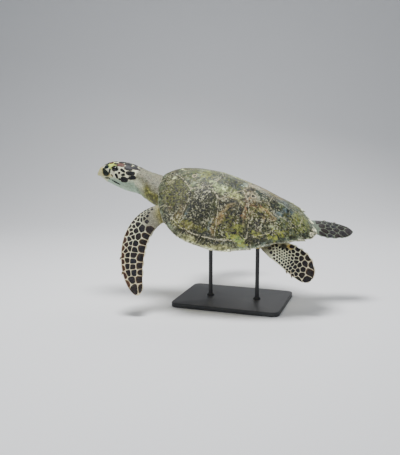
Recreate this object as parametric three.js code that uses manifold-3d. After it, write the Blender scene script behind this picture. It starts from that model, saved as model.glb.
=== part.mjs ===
// A hawksbill sea turtle, life size and still, swimming on a plain display stand.
// Millimetres, +Z up. The body's own frame has the head toward -X and the left side toward -Y.
// The flesh is modelled whole, cleared of the shell plates and parted with thin cuts.

import * as THREE from 'three';
import { mergeVertices } from 'three/addons/utils/BufferGeometryUtils.js';
import Module from 'manifold-3d';

const wasm = await Module();
wasm.setup();

// ---------- driving dimensions ----------

const GAP = 0.45; // clearance between neighbouring pieces

const SHELL = {
  length: 620, // straight carapace length
  halfWidth: 234,
  height: 135, // ridge above the margin's own level
  sectionPower: 1.5, // 1 is a roof, 2 a round arch
  thickness: 11,
  edgeThickness: 3.4,
  marginals: 12, // on each side
  toothFront: 1.5, // how far a marginal's rear corner stands out
  toothRear: 12.5,
  flare: -0.12, // slope of the margin beyond its base line
};

const PLASTRON = {
  depth: 82, // below the margin's own level
  thickness: 9,
  frontX: -246,
  rearX: 236,
  rise: 72, // lift of the bridge edge
};

const HEAD = {
  length: 176, // beak tip to the back of the crown
  base: [-417, 7, 16], // the back of the skull, on the head's axis
  pitchDown: 1.5, // degrees, all against the shell
  yawLeft: 11.5,
  rollRight: 22, // so that the head stays level while the body banks
};

const EYE = { along: 0.578, left: 0.158, up: 0.1, radius: 13 };

const NECK = { rearX: -240, stations: 7 };

const TRUNK = { frontX: -262, rearX: 262, level: -12, stations: 15, power: 2.8 };

const CLAW = { radius: 4, length: 15, depth: 4, slant: 0.75 }; // depth sunk in the flipper

const STAND = {
  base: [430, 320, 18],
  corner: 28,
  edge: 2.5,
  rod: 8, // radius
  rodsX: [-95, 105], // where they meet the plastron
  collar: 15,
  collarHeight: 10,
  clearance: 62, // the lowest flipper tip above the base
};

const POSE = { pitchUp: 14.57, rollLeft: 22.62 }; // degrees

const COLOUR = {
  shell: 0x6b6550,
  horn: 0x3a3a30,
  plastron: 0xd9cf9f,
  skin: 0xcdc7a4,
  flipper: 0x3c3a40,
  eye: 0x14100c,
  claw: 0xcabf94,
  stand: 0x2b2c2e,
};

// ---------- curves and profiles ----------

// A smooth curve through values at knots, level beyond its ends.
function profile(knots, values) {
  const last = knots.length - 1;
  const slope = (i) => {
    const a = Math.max(i - 1, 0);
    const b = Math.min(i + 1, last);
    return (values[b] - values[a]) / (knots[b] - knots[a]);
  };
  return (t) => {
    if (t <= knots[0]) return values[0];
    if (t >= knots[last]) return values[last];
    let i = 0;
    while (t > knots[i + 1]) i += 1;
    const step = knots[i + 1] - knots[i];
    const u = (t - knots[i]) / step;
    const a = values[i];
    const b = values[i + 1];
    const rise = u * u * (3 - 2 * u);
    const lead = u * (1 - u) * (1 - u) * step * slope(i);
    const tail = u * u * (1 - u) * step * slope(i + 1);
    return a + (b - a) * rise + lead - tail;
  };
}

function clamp(value, low, high) {
  return Math.min(Math.max(value, low), high);
}

function degrees(angle) {
  return THREE.MathUtils.degToRad(angle);
}

// ---------- the shell's shape ----------

const widthAlong = profile(
  [0, 0.03, 0.08, 0.16, 0.28, 0.42, 0.56, 0.7, 0.82, 0.92, 1],
  [0.23, 0.4, 0.66, 0.9, 1.02, 1.01, 0.96, 0.815, 0.615, 0.385, 0.13],
);
const ridgeAlong = profile(
  [0, 0.05, 0.12, 0.2, 0.3, 0.4, 0.5, 0.6, 0.7, 0.8, 0.9, 1],
  [0.49, 0.65, 0.74, 0.86, 0.97, 1, 0.955, 0.89, 0.765, 0.61, 0.36, 0.11],
);
const marginAlong = profile(
  [0, 0.06, 0.12, 0.2, 0.3, 0.5, 0.7, 0.85, 1],
  [0.065, 0.055, 0.027, -0.007, -0.038, -0.053, -0.011, 0.029, 0.013],
);

function shellHalfWidth(x) {
  return SHELL.halfWidth * widthAlong(x / SHELL.length + 0.5);
}

function marginHeight(x) {
  return SHELL.length * marginAlong(x / SHELL.length + 0.5);
}

// Height of the carapace's outer face over a point of the plan.
function shellTop(x, y) {
  const ridge = SHELL.height * ridgeAlong(x / SHELL.length + 0.5);
  const margin = marginHeight(x);
  const across = clamp(Math.abs(y) / shellHalfWidth(x), 0, 1);
  return margin + (ridge - margin) * (1 - across ** SHELL.sectionPower);
}

// Plan radius of a shape with a half-width at each x, found by halving.
function planRadius(angle, frontX, rearX, halfWidth) {
  let inside = 0;
  let outside = SHELL.length;
  for (let i = 0; i < 30; i += 1) {
    const r = (inside + outside) / 2;
    const x = r * Math.cos(angle);
    const within = x > frontX && x < rearX && Math.abs(r * Math.sin(angle)) < halfWidth(x);
    if (within) inside = r;
    else outside = r;
  }
  return inside;
}

// The margin's base line from the front middle round one side to the rear, evenly divided by length.
function marginPoints(fractions) {
  const steps = 360;
  const half = SHELL.length / 2;
  const line = [];
  for (let i = 0; i <= steps; i += 1) {
    const angle = Math.PI * (1 - i / steps);
    const r = planRadius(angle, -half, half, shellHalfWidth);
    line.push(new THREE.Vector2(r * Math.cos(angle), r * Math.sin(angle)));
  }
  const run = [0];
  for (let i = 1; i <= steps; i += 1) run.push(run[i - 1] + line[i].distanceTo(line[i - 1]));
  return fractions.map((fraction) => {
    const wanted = fraction * run[steps];
    const i = clamp(run.findIndex((length) => length >= wanted), 1, steps);
    const u = (wanted - run[i - 1]) / (run[i] - run[i - 1]);
    return line[i - 1].clone().lerp(line[i], u);
  });
}

// How far the serrated edge stands out at a share of one marginal's length.
function tooth(marginal, share) {
  const rearward = clamp((marginal - 4) / (SHELL.marginals - 5), 0, 1);
  const size = SHELL.toothFront + (SHELL.toothRear - SHELL.toothFront) * rearward ** 1.5;
  return size * share ** 1.6;
}

const NUCHAL_SHARE = 0.045; // of the half outline, taken by the nuchal plate

// The serrated edge as points of the plan, each with its base point, front to rear on one side.
function serratedSide() {
  const fractions = [0];
  const reach = [0];
  for (let m = 0; m < SHELL.marginals; m += 1) {
    const shares = m < 4 ? [0, 0.5] : [0, 0.5, 0.97];
    for (const share of shares) {
      fractions.push(NUCHAL_SHARE + ((1 - NUCHAL_SHARE) * (m + share)) / SHELL.marginals);
      reach.push(tooth(m, share));
    }
  }
  return marginPoints(fractions).map((base, i) => {
    const out = base.clone().normalize().multiplyScalar(reach[i]);
    return { base, edge: base.clone().add(out), reach: reach[i] };
  });
}

function serratedOutline() {
  const right = serratedSide();
  const mirror = ({ base, edge, reach }) => ({
    base: new THREE.Vector2(base.x, -base.y),
    edge: new THREE.Vector2(edge.x, -edge.y),
    reach,
  });
  const left = right.slice(1).map(mirror).reverse();
  return [...left, ...right].reverse();
}

// ---------- solids ----------

function geometryOf(points, triangles) {
  const geometry = new THREE.BufferGeometry();
  geometry.setAttribute('position', new THREE.Float32BufferAttribute(points.flat(), 3));
  geometry.setIndex(triangles.flat());
  return geometry;
}

// A closed body through rings of equally many points, with a fan over each end.
function loft(rings) {
  const count = rings[0].length;
  const points = rings.flat();
  const triangles = [];
  for (let k = 0; k + 1 < rings.length; k += 1) {
    for (let i = 0; i < count; i += 1) {
      const a = k * count + i;
      const b = k * count + ((i + 1) % count);
      triangles.push([a, b, b + count], [a, b + count, a + count]);
    }
  }
  const cap = (ring, start, flip) => {
    const sum = ring.reduce((s, p) => [s[0] + p[0], s[1] + p[1], s[2] + p[2]], [0, 0, 0]);
    const centre = points.push(sum.map((value) => value / count)) - 1;
    for (let i = 0; i < count; i += 1) {
      const a = start + i;
      const b = start + ((i + 1) % count);
      triangles.push(flip ? [centre, a, b] : [centre, b, a]);
    }
  };
  cap(rings[0], 0, false);
  cap(rings[rings.length - 1], (rings.length - 1) * count, true);
  return solid(geometryOf(points, triangles));
}

function solid(geometry) {
  const bare = geometry.clone();
  bare.deleteAttribute('normal');
  bare.deleteAttribute('uv');
  const merged = mergeVertices(bare, 1e-3);
  const made = new wasm.Manifold(new wasm.Mesh({
    numProp: 3,
    vertProperties: new Float32Array(merged.attributes.position.array),
    triVerts: new Uint32Array(merged.index.array),
  }));
  if (made.volume() > 0) return made;
  const turned = new Uint32Array(merged.index.array);
  for (let i = 0; i < turned.length; i += 3) {
    [turned[i + 1], turned[i + 2]] = [turned[i + 2], turned[i + 1]];
  }
  return new wasm.Manifold(new wasm.Mesh({
    numProp: 3,
    vertProperties: new Float32Array(merged.attributes.position.array),
    triVerts: turned,
  }));
}

function node(name, body, colour, roughness = 0.6) {
  const made = body.getMesh();
  const geometry = new THREE.BufferGeometry();
  geometry.setAttribute('position', new THREE.BufferAttribute(made.vertProperties, 3));
  geometry.setIndex(new THREE.BufferAttribute(made.triVerts, 1));
  const material = new THREE.MeshStandardMaterial({ color: colour, roughness, metalness: 0 });
  const mesh = new THREE.Mesh(geometry, material);
  mesh.name = name;
  return mesh;
}

// The biggest piece, without the crumbs that a cut can leave.
function biggest(body) {
  return body.decompose().sort((a, b) => b.volume() - a.volume())[0];
}

// ---------- shell plates ----------

const PLATE_RINGS = [0.3, 0.6, 0.84, 1];

// A plate between two heights over rings of the same outline, closed round its edge.
function plate(outline, top, bottom) {
  const centre = [[0, 0, top(0, 0, 0)], [0, 0, bottom(0, 0, 0)]];
  const points = [...centre];
  const count = outline.length;
  for (const height of [top, bottom]) {
    for (const share of PLATE_RINGS) {
      for (const { base, edge, reach } of outline) {
        const rim = share === 1;
        const x = rim ? edge.x : base.x * share;
        const y = rim ? edge.y : base.y * share;
        const z = height(base.x * share, base.y * share, share) + (rim ? reach * SHELL.flare : 0);
        points.push([x, y, z]);
      }
    }
  }
  const triangles = [];
  const index = (side, ring, i) => 2 + (side * PLATE_RINGS.length + ring) * count + (i % count);
  const last = PLATE_RINGS.length - 1;
  for (let i = 0; i < count; i += 1) {
    triangles.push([0, index(0, 0, i), index(0, 0, i + 1)]);
    triangles.push([1, index(1, 0, i + 1), index(1, 0, i)]);
    for (let ring = 0; ring < last; ring += 1) {
      for (const side of [0, 1]) {
        const a = index(side, ring, i);
        const b = index(side, ring, i + 1);
        const c = index(side, ring + 1, i + 1);
        const d = index(side, ring + 1, i);
        if (side === 0) triangles.push([a, d, c], [a, c, b]);
        else triangles.push([a, c, d], [a, b, c]);
      }
    }
    const [a, b] = [index(0, last, i), index(0, last, i + 1)];
    const [c, d] = [index(1, last, i + 1), index(1, last, i)];
    triangles.push([a, d, c], [a, c, b]);
  }
  return solid(geometryOf(points, triangles));
}

function shellThickness(share) {
  const rim = clamp((share - 0.7) / 0.3, 0, 1);
  return SHELL.thickness + (SHELL.edgeThickness - SHELL.thickness) * rim;
}

const OUTLINE = serratedOutline();

function carapace() {
  return plate(OUTLINE, shellTop, (x, y, share) => shellTop(x, y) - shellThickness(share));
}

// Everything from just under the carapace upward, inside its outline.
function overCarapace() {
  const under = (x, y, share) => shellTop(x, y) - shellThickness(share) - GAP;
  return plate(OUTLINE, (x, y) => shellTop(x, y) + SHELL.height, under);
}

const plastronShare = profile(
  [0, 0.04, 0.1, 0.2, 0.27, 0.6, 0.68, 0.8, 0.92, 1],
  [0.2, 0.32, 0.42, 0.47, 0.86, 0.86, 0.5, 0.42, 0.27, 0.07],
);

function plastronHalfWidth(x) {
  const t = (x - PLASTRON.frontX) / (PLASTRON.rearX - PLASTRON.frontX);
  return shellHalfWidth(x) * plastronShare(t);
}

// Height of the plastron's under face: flat in the middle, lifting to its ends and its bridges.
function plastronUnder(x, y) {
  const end = clamp((Math.abs(x + 10) - 120) / 130, 0, 1.2);
  const across = Math.abs(y) / shellHalfWidth(x);
  const bridge = clamp((across - 0.45) / 0.4, 0, 1.2);
  return -PLASTRON.depth + 30 * end ** 1.6 + PLASTRON.rise * bridge ** 1.5;
}

function plastronOutline() {
  const outline = [];
  const count = 48;
  for (let i = 0; i < count; i += 1) {
    const angle = (2 * Math.PI * (i + 0.5)) / count;
    const r = planRadius(angle, PLASTRON.frontX, PLASTRON.rearX, plastronHalfWidth);
    const base = new THREE.Vector2(r * Math.cos(angle), r * Math.sin(angle));
    outline.push({ base, edge: base, reach: 0 });
  }
  return outline;
}

function plastron() {
  return plate(plastronOutline(), (x, y) => plastronUnder(x, y) + PLASTRON.thickness, plastronUnder);
}

// The plastron with its clearance, for cutting the flesh.
function plastronClearance() {
  const wide = plastronOutline().map(({ base }) => {
    const edge = base.clone().multiplyScalar(1 + GAP / base.length());
    return { base: edge, edge, reach: 0 };
  });
  const above = (x, y) => plastronUnder(x, y) + PLASTRON.thickness + GAP;
  return plate(wide, above, (x, y) => plastronUnder(x, y) - GAP);
}

// ---------- flesh ----------

// One ring of a body part: a rounded section with its own upper and lower height.
function sectionRing(count, at, side, up, half, top, bottom, power = 2) {
  const ring = [];
  for (let i = 0; i < count; i += 1) {
    const angle = (2 * Math.PI * i) / count;
    const c = Math.cos(angle);
    const s = Math.sin(angle);
    const across = half * Math.sign(c) * Math.abs(c) ** (2 / power);
    const rise = (s > 0 ? top : bottom) * Math.sign(s) * Math.abs(s) ** (2 / power);
    const point = at.clone().addScaledVector(side, across).addScaledVector(up, rise);
    ring.push(point.toArray());
  }
  return ring;
}

const SIDE = new THREE.Vector3(0, 1, 0);
const UP = new THREE.Vector3(0, 0, 1);

// The trunk fills the shell; the plates then cut it to fit.
function trunk(grow = 0) {
  const share = profile(
    [0, 0.08, 0.2, 0.6, 0.8, 0.92, 1],
    [0.5, 0.64, 0.8, 0.8, 0.68, 0.52, 0.36],
  );
  const rings = [];
  for (let k = 0; k <= TRUNK.stations; k += 1) {
    const t = k / TRUNK.stations;
    const x = TRUNK.frontX - grow + (TRUNK.rearX - TRUNK.frontX + 2 * grow) * t;
    const half = shellHalfWidth(x) * share(t);
    const top = shellTop(x, 0);
    const bottom = -plastronUnder(x, 0) - 4;
    const at = new THREE.Vector3(x, 0, TRUNK.level);
    const up = top - TRUNK.level + grow;
    const down = bottom + TRUNK.level + grow;
    rings.push(sectionRing(24, at, SIDE, UP, half + grow, up, down, TRUNK.power));
  }
  return loft(rings);
}

function headFrame() {
  const [roll, pitch, yaw] = [HEAD.rollRight, HEAD.pitchDown, 180 + HEAD.yawLeft].map(degrees);
  const turn = new THREE.Euler(roll, pitch, yaw, 'ZYX');
  const matrix = new THREE.Matrix4().makeRotationFromEuler(turn);
  matrix.setPosition(...HEAD.base);
  return matrix;
}

const headTop = profile(
  [0, 0.15, 0.35, 0.55, 0.68, 0.8, 0.9, 0.97, 1],
  [0.21, 0.255, 0.275, 0.27, 0.25, 0.2, 0.125, 0.03, -0.05],
);
const headBottom = profile(
  [0, 0.2, 0.4, 0.6, 0.75, 0.86, 0.95, 1],
  [0.4, 0.385, 0.345, 0.29, 0.24, 0.185, 0.135, 0.1],
);
const headHalf = profile(
  [0, 0.15, 0.32, 0.5, 0.62, 0.72, 0.82, 0.92, 0.98, 1],
  [0.26, 0.285, 0.295, 0.265, 0.228, 0.19, 0.142, 0.09, 0.05, 0.02],
);

// A point of the head from its own axes: along to the beak, left and up; in head lengths.
function headPoint(along, left, up) {
  const point = new THREE.Vector3(along, left, up).multiplyScalar(HEAD.length);
  return point.applyMatrix4(headFrame());
}

function headAxes() {
  const origin = headPoint(0, 0, 0);
  return {
    right: headPoint(0, -1, 0).sub(origin).normalize(),
    up: headPoint(0, 0, 1).sub(origin).normalize(),
  };
}

function head(grow = 0) {
  const { right, up } = headAxes();
  const size = HEAD.length;
  const back = -0.06 - grow / size;
  const stations = [back, 0.06, 0.17, 0.28, 0.39, 0.49, 0.58, 0.66, 0.73, 0.8, 0.86, 0.92, 0.97, 1];
  const rings = stations.map((t) => {
    const at = headPoint(t, 0, 0);
    const [half, top, bottom] = [headHalf(t), headTop(t), headBottom(t)];
    const middle = (top - bottom) / 2;
    at.addScaledVector(up, middle * size);
    const rise = (size * (top + bottom)) / 2;
    return sectionRing(22, at, right, up, half * size + grow, rise + grow, rise + grow, 2.3);
  });
  return loft(rings);
}

function neck(grow = 0) {
  const { right, up } = headAxes();
  const start = new THREE.Vector3(NECK.rearX, 0, -14);
  const end = headPoint(0.1, 0, -0.055);
  const half = profile([0, 0.35, 0.7, 1], [112, 88, 64, 46]);
  const rise = profile([0, 0.35, 0.7, 1], [56, 57, 56, 48]);
  const rings = [];
  for (let k = 0; k <= NECK.stations; k += 1) {
    const t = k / NECK.stations;
    const at = start.clone().lerp(end, t);
    at.z -= 11 * Math.sin(Math.PI * t);
    const turnedSide = SIDE.clone().lerp(right, t).normalize();
    const turnedUp = UP.clone().lerp(up, t).normalize();
    const high = rise(t) + grow;
    rings.push(sectionRing(22, at, turnedSide, turnedUp, half(t) + grow, high, high, 2.1));
  }
  return loft(rings);
}

// A flipper: a Bezier spine, a chord across it in the blade's plane and an aerofoil section.
// The face's direction turns from `faceRoot` to `faceTip` along the span.
const FRONT_BLADE = {
  span: [0, 0.12, 0.3, 0.48, 0.64, 0.8, 0.92, 0.98, 1],
  lead: [26, 32, 42, 45, 42, 37, 27, 15, 3],
  trail: [36, 40, 48, 50, 48, 40, 29, 16, 3],
  thick: [30, 27, 15, 9.5, 7.5, 5.5, 3.6, 2.4, 1.6],
};
const HIND_BLADE = {
  span: [0, 0.2, 0.4, 0.6, 0.75, 0.88, 0.96, 1],
  lead: [36, 48, 51, 52, 47, 36, 22, 5],
  trail: [26, 31, 42, 52, 50, 38, 22, 5],
  thick: [24, 19, 12, 8, 6.5, 4.6, 3.2, 2],
};

const FLIPPERS = {
  front_flipper_left: {
    blade: FRONT_BLADE,
    claws: [0.66, 0.78],
    spine: [[-206, -118, -10], [-322, -188, 16], [-330, -322, -110], [-212, -390, -224]],
    faceRoot: [-0.1, -0.5, 0.86],
    faceTip: [0.257, -0.768, 0.587],
    leadSide: -1,
  },
  front_flipper_right: {
    blade: FRONT_BLADE,
    claws: [0.66, 0.78],
    spine: [[-206, 118, -22], [-300, 190, -30], [-240, 330, -110], [-70, 385, -160]],
    faceRoot: [0, 0.35, 0.94],
    faceTip: [0.1, 0.42, 0.9],
    leadSide: 1,
  },
  hind_flipper_left: {
    blade: HIND_BLADE,
    claws: [0.62, 0.76],
    spine: [[158, -92, -26], [232, -112, -28], [302, -90, -58], [352, -130, -120]],
    faceRoot: [0.1, -0.55, 0.83],
    faceTip: [0.257, -0.768, 0.587],
    leadSide: -1,
  },
  hind_flipper_right: {
    blade: HIND_BLADE,
    claws: [0.62, 0.76],
    spine: [[170, 88, -38], [250, 116, -60], [340, 160, -64], [442, 192, -60]],
    faceRoot: [0, 0.36, 0.93],
    faceTip: [0.1, -0.04, 0.97],
    leadSide: 1,
  },
};

// The spine point, the chord toward the leading edge and the outward normal at a share of the span.
function flipperFrame({ spine, faceRoot, faceTip, leadSide }, t) {
  const curve = new THREE.CubicBezierCurve3(...spine.map((p) => new THREE.Vector3(...p)));
  const along = curve.getTangentAt(t);
  const face = new THREE.Vector3(...faceRoot).lerp(new THREE.Vector3(...faceTip), Math.min(1, 1.6 * t));
  const chord = face.clone().cross(along).normalize().multiplyScalar(leadSide);
  const out = chord.clone().cross(along).normalize();
  return { at: curve.getPointAt(t), along, chord, out };
}

function flipper(shape, grow = 0) {
  const { blade } = shape;
  const lead = profile(blade.span, blade.lead);
  const trail = profile(blade.span, blade.trail);
  const thick = profile(blade.span, blade.thick);
  const stations = [0, 0.08, 0.16, 0.24, 0.32, 0.4, 0.5, 0.6, 0.7, 0.8, 0.87, 0.93, 0.97, 1];
  const rings = stations.map((t) => {
    const { at, chord, out } = flipperFrame(shape, t);
    const ring = [];
    const sides = 14;
    for (let i = 0; i < sides; i += 1) {
      const angle = (2 * Math.PI * i) / sides;
      const c = Math.cos(angle);
      const reach = (c > 0 ? lead(t) : trail(t)) + grow;
      const rise = (thick(t) + grow) * Math.sin(angle) * (1 + 0.35 * c);
      ring.push(at.clone().addScaledVector(chord, c * reach).addScaledVector(out, rise).toArray());
    }
    return ring;
  });
  return loft(rings);
}

function tail() {
  const curve = new THREE.QuadraticBezierCurve3(
    new THREE.Vector3(220, 0, -22),
    new THREE.Vector3(262, 0, -18),
    new THREE.Vector3(302, 0, -8),
  );
  const radius = profile([0, 0.5, 0.85, 1], [28, 18, 9, 3]);
  const rings = [];
  for (let k = 0; k <= 7; k += 1) {
    const t = k / 7;
    const along = curve.getTangentAt(t);
    const up = along.clone().cross(SIDE).normalize();
    rings.push(sectionRing(14, curve.getPointAt(t), SIDE, up, radius(t) * 1.15, radius(t), radius(t)));
  }
  return loft(rings);
}

// ---------- head parts ----------

// Sagittal lines of the horny beak, along and up in head lengths.
const MOUTH_LINE = [[0.6, -0.078], [0.76, -0.09], [0.88, -0.1], [0.95, -0.112], [1.1, -0.16]];
const UPPER_RIM = [[0.6, -0.078], [0.7, -0.005], [0.8, 0.055], [0.89, 0.085], [1.1, 0.06]];
const LOWER_RIM = [[0.67, -0.07], [0.84, -0.42]];

// A thin cut right through the head along a sagittal line.
function kerf(line) {
  const origin = headPoint(0, 0, 0);
  const along = headPoint(1, 0, 0).sub(origin).normalize();
  const { right, up } = headAxes();
  const cuts = [];
  for (let i = 1; i < line.length; i += 1) {
    const a = headPoint(line[i - 1][0], 0, line[i - 1][1]);
    const b = headPoint(line[i][0], 0, line[i][1]);
    const run = b.clone().sub(a);
    const tilt = Math.atan2(run.dot(up), run.dot(along));
    const box = new THREE.BoxGeometry(run.length() + GAP, GAP, HEAD.length);
    box.applyMatrix4(new THREE.Matrix4().makeRotationZ(tilt));
    box.applyMatrix4(new THREE.Matrix4().makeBasis(along, up, right));
    box.translate(...a.add(b).multiplyScalar(0.5).toArray());
    cuts.push(solid(box));
  }
  return cuts.reduce((whole, cut) => whole.add(cut));
}

function eyeBall(side, grow = 0) {
  const ball = new THREE.SphereGeometry(EYE.radius + grow, 14, 10);
  ball.translate(...headPoint(EYE.along, side * EYE.left, EYE.up).toArray());
  return solid(ball);
}

// The head's flesh and the two halves of the beak, told apart by size and height.
function partedHead() {
  const whole = head().subtract(eyeBall(1, GAP)).subtract(eyeBall(-1, GAP));
  const lines = [MOUTH_LINE, UPPER_RIM, LOWER_RIM];
  const cut = lines.reduce((body, line) => body.subtract(kerf(line)), whole);
  const pieces = cut.decompose().sort((a, b) => b.volume() - a.volume());
  const [flesh, ...beak] = pieces.slice(0, 3);
  const height = (body) => body.boundingBox().max[2];
  const [upper, lower] = beak.sort((a, b) => height(b) - height(a));
  return { flesh, upper, lower };
}

// ---------- claws ----------

// A pointed cone from a flipper's leading edge, lying back toward its tip.
function claw(shape, t, whole) {
  const { at, along, chord } = flipperFrame(shape, t);
  const lead = profile(shape.blade.span, shape.blade.lead)(t);
  const cone = new THREE.ConeGeometry(CLAW.radius, CLAW.length, 8);
  cone.translate(0, CLAW.length / 2 - CLAW.depth, 0);
  const axis = chord.clone().multiplyScalar(CLAW.slant).add(along).normalize();
  cone.applyQuaternion(new THREE.Quaternion().setFromUnitVectors(new THREE.Vector3(0, 1, 0), axis));
  cone.translate(...at.addScaledVector(chord, lead).toArray());
  return biggest(solid(cone).subtract(whole));
}

// ---------- assembly ----------

const turtle = new THREE.Group();
turtle.name = 'turtle';

const aboveShell = overCarapace();
const plastronRoom = plastronClearance();
const clearOfShell = (body) => body.subtract(aboveShell).subtract(plastronRoom);

turtle.add(node('carapace', carapace(), COLOUR.shell, 0.45));
turtle.add(node('plastron', biggest(plastron().subtract(aboveShell)), COLOUR.plastron, 0.5));
turtle.add(node('trunk', biggest(clearOfShell(trunk())), COLOUR.skin));

const trunkRoom = trunk(GAP);
const neckRoom = neck(GAP);
const freeNeck = clearOfShell(neck()).subtract(trunkRoom).subtract(head(GAP));
turtle.add(node('neck', biggest(freeNeck), COLOUR.skin));
turtle.add(node('tail', biggest(clearOfShell(tail()).subtract(trunkRoom)), COLOUR.skin));

const { flesh, upper, lower } = partedHead();
turtle.add(node('head', flesh, COLOUR.skin));
turtle.add(node('beak_upper', upper, COLOUR.horn, 0.4));
turtle.add(node('beak_lower', lower, COLOUR.horn, 0.4));
turtle.add(node('eye_left', eyeBall(1), COLOUR.eye, 0.1));
turtle.add(node('eye_right', eyeBall(-1), COLOUR.eye, 0.1));

for (const [name, shape] of Object.entries(FLIPPERS)) {
  const body = clearOfShell(flipper(shape)).subtract(trunkRoom).subtract(neckRoom);
  turtle.add(node(name, biggest(body), COLOUR.flipper));
  const whole = flipper(shape, GAP);
  const limb = name.replace('flipper_', '');
  shape.claws.forEach((t, i) => {
    turtle.add(node(`claw_${limb}_${i + 1}`, claw(shape, t, whole), COLOUR.claw, 0.4));
  });
}

turtle.rotation.set(degrees(POSE.rollLeft), degrees(POSE.pitchUp), 0, 'YXZ');
turtle.updateMatrixWorld(true);
const lowest = new THREE.Box3().setFromObject(turtle, true).min.z;
turtle.position.z = STAND.base[2] + STAND.clearance - lowest;
turtle.updateMatrixWorld(true);

// ---------- the stand ----------

function standBase(centre) {
  const [length, width, height] = STAND.base;
  const [x, y, r] = [length / 2 - STAND.edge, width / 2 - STAND.edge, STAND.corner];
  const outline = new THREE.Shape();
  outline.moveTo(-x + r, -y);
  outline.absarc(x - r, -y + r, r, -Math.PI / 2, 0);
  outline.absarc(x - r, y - r, r, 0, Math.PI / 2);
  outline.absarc(-x + r, y - r, r, Math.PI / 2, Math.PI);
  outline.absarc(-x + r, -y + r, r, Math.PI, 1.5 * Math.PI);
  const slab = new THREE.ExtrudeGeometry(outline, {
    depth: height - 2 * STAND.edge,
    bevelSize: STAND.edge,
    bevelThickness: STAND.edge,
    bevelSegments: 1,
    curveSegments: 6,
  });
  slab.translate(centre.x, centre.y, STAND.edge);
  return solid(slab);
}

// A rod with a turned foot, standing on the base and cut to the plastron above it.
function standRod(foot) {
  const { rod, collar, collarHeight } = STAND;
  const top = turtle.position.z + SHELL.length;
  const half = [
    [0, 0],
    [collar, 0],
    [collar, 3],
    [rod + 2, collarHeight - 2],
    [rod, collarHeight + 2],
    [rod, top],
    [0, top],
  ].map(([r, z]) => new THREE.Vector2(r, z));
  const turned = new THREE.LatheGeometry(half, 20).rotateX(Math.PI / 2);
  turned.translate(foot.x, foot.y, STAND.base[2] + GAP);
  const under = (x, y) => plastronUnder(x, y) - GAP;
  const above = plate(plastronOutline(), () => SHELL.length, under);
  const cut = solid(turned).subtract(above.transform(turtle.matrixWorld.toArray()));
  return cut.decompose().sort((a, b) => a.boundingBox().min[2] - b.boundingBox().min[2])[0];
}

const stand = new THREE.Group();
const footUnder = (x) => new THREE.Vector3(x, 0, -PLASTRON.depth).applyMatrix4(turtle.matrixWorld);
const feet = STAND.rodsX.map(footUnder);
const middle = feet[0].clone().add(feet[1]).multiplyScalar(0.5);
stand.add(node('stand_base', standBase(middle), COLOUR.stand, 0.5));
stand.add(node('stand_rod_front', standRod(feet[0]), COLOUR.stand, 0.3));
stand.add(node('stand_rod_rear', standRod(feet[1]), COLOUR.stand, 0.3));

// The origin is under the middle of the whole model's box.
const model = new THREE.Group();
model.add(turtle, stand);
model.updateMatrixWorld(true);
const box = new THREE.Box3().setFromObject(model, true);
const centre = box.getCenter(new THREE.Vector3());
turtle.position.x -= centre.x;
turtle.position.y -= centre.y;
stand.position.set(-centre.x, -centre.y, 0);

export default model;
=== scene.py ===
"""A life-size hawksbill sea turtle on a display stand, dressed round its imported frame.

Shapes are worked out in the turtle's own frame, in millimetres: the head toward -X, the left
side toward -Y, the back up. `Pose` then sets them in the row's frame, in metres.
"""

import functools
import logging
import math
from dataclasses import dataclass, field, replace
from enum import Enum
from typing import Callable, Iterable, Sequence

import bmesh
import bpy
import numpy as np
from mathutils import Matrix, Vector
from mathutils.bvhtree import BVHTree
from mathutils.kdtree import KDTree


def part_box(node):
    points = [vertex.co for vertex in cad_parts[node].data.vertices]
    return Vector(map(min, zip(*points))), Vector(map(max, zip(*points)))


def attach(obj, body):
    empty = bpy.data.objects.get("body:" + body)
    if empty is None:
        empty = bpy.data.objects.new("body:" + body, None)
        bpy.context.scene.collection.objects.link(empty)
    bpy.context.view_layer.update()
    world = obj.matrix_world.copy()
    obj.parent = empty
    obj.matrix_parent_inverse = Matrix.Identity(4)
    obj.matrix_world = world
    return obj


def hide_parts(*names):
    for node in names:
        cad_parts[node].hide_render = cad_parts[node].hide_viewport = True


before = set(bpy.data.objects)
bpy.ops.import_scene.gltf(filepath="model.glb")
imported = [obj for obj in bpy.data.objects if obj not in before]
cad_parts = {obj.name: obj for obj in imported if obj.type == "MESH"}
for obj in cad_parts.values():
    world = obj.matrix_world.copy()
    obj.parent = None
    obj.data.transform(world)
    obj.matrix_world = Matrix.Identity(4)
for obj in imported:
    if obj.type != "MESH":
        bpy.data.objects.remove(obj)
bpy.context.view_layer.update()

Array = np.ndarray
Curve = Callable[[Array], Array]
Spot = tuple[float, float, float]
Line = tuple[tuple[float, float], ...]
Faces = list[Sequence[int]]
Piece = bpy.types.Object
Finish = bpy.types.Material

LOG = logging.getLogger("turtle")
MM = 0.001
SEED = 7
COAT_DEPTH = 1.2  # how far the skin lies inside the flesh's outline, mm
PATCH = 0.0014  # the radius of one scale's patch of the bake map
HALVINGS = 30  # enough to find an outline to far less than a micron
GRID = 32  # cells of noise before it repeats
PULL, PUSH = 0.5, -0.52  # steps toward and away from the neighbours when a surface is smoothed


# ---------- small tools ----------


def linear(code: str) -> tuple[float, float, float, float]:
    """Turn an sRGB hex colour into linear light.

    Args:
        code: Six hex digits, such as "d8cfb0".

    Returns:
        Red, green, blue and an alpha of 1.
    """
    shares = [int(code[i : i + 2], 16) / 255 for i in (0, 2, 4)]
    red, green, blue = (c / 12.92 if c <= 0.04045 else ((c + 0.055) / 1.055) ** 2.4 for c in shares)
    return red, green, blue, 1.0


def tint(code: str) -> Array:
    """Give a hex colour as a linear red, green and blue array."""
    return np.array(linear(code)[:3])


def blend(a: Array, b: Array, share: Array) -> Array:
    """Mix colours by a share for each place."""
    share = np.asarray(share, float)[..., None]
    return a * (1 - share) + b * share


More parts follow.
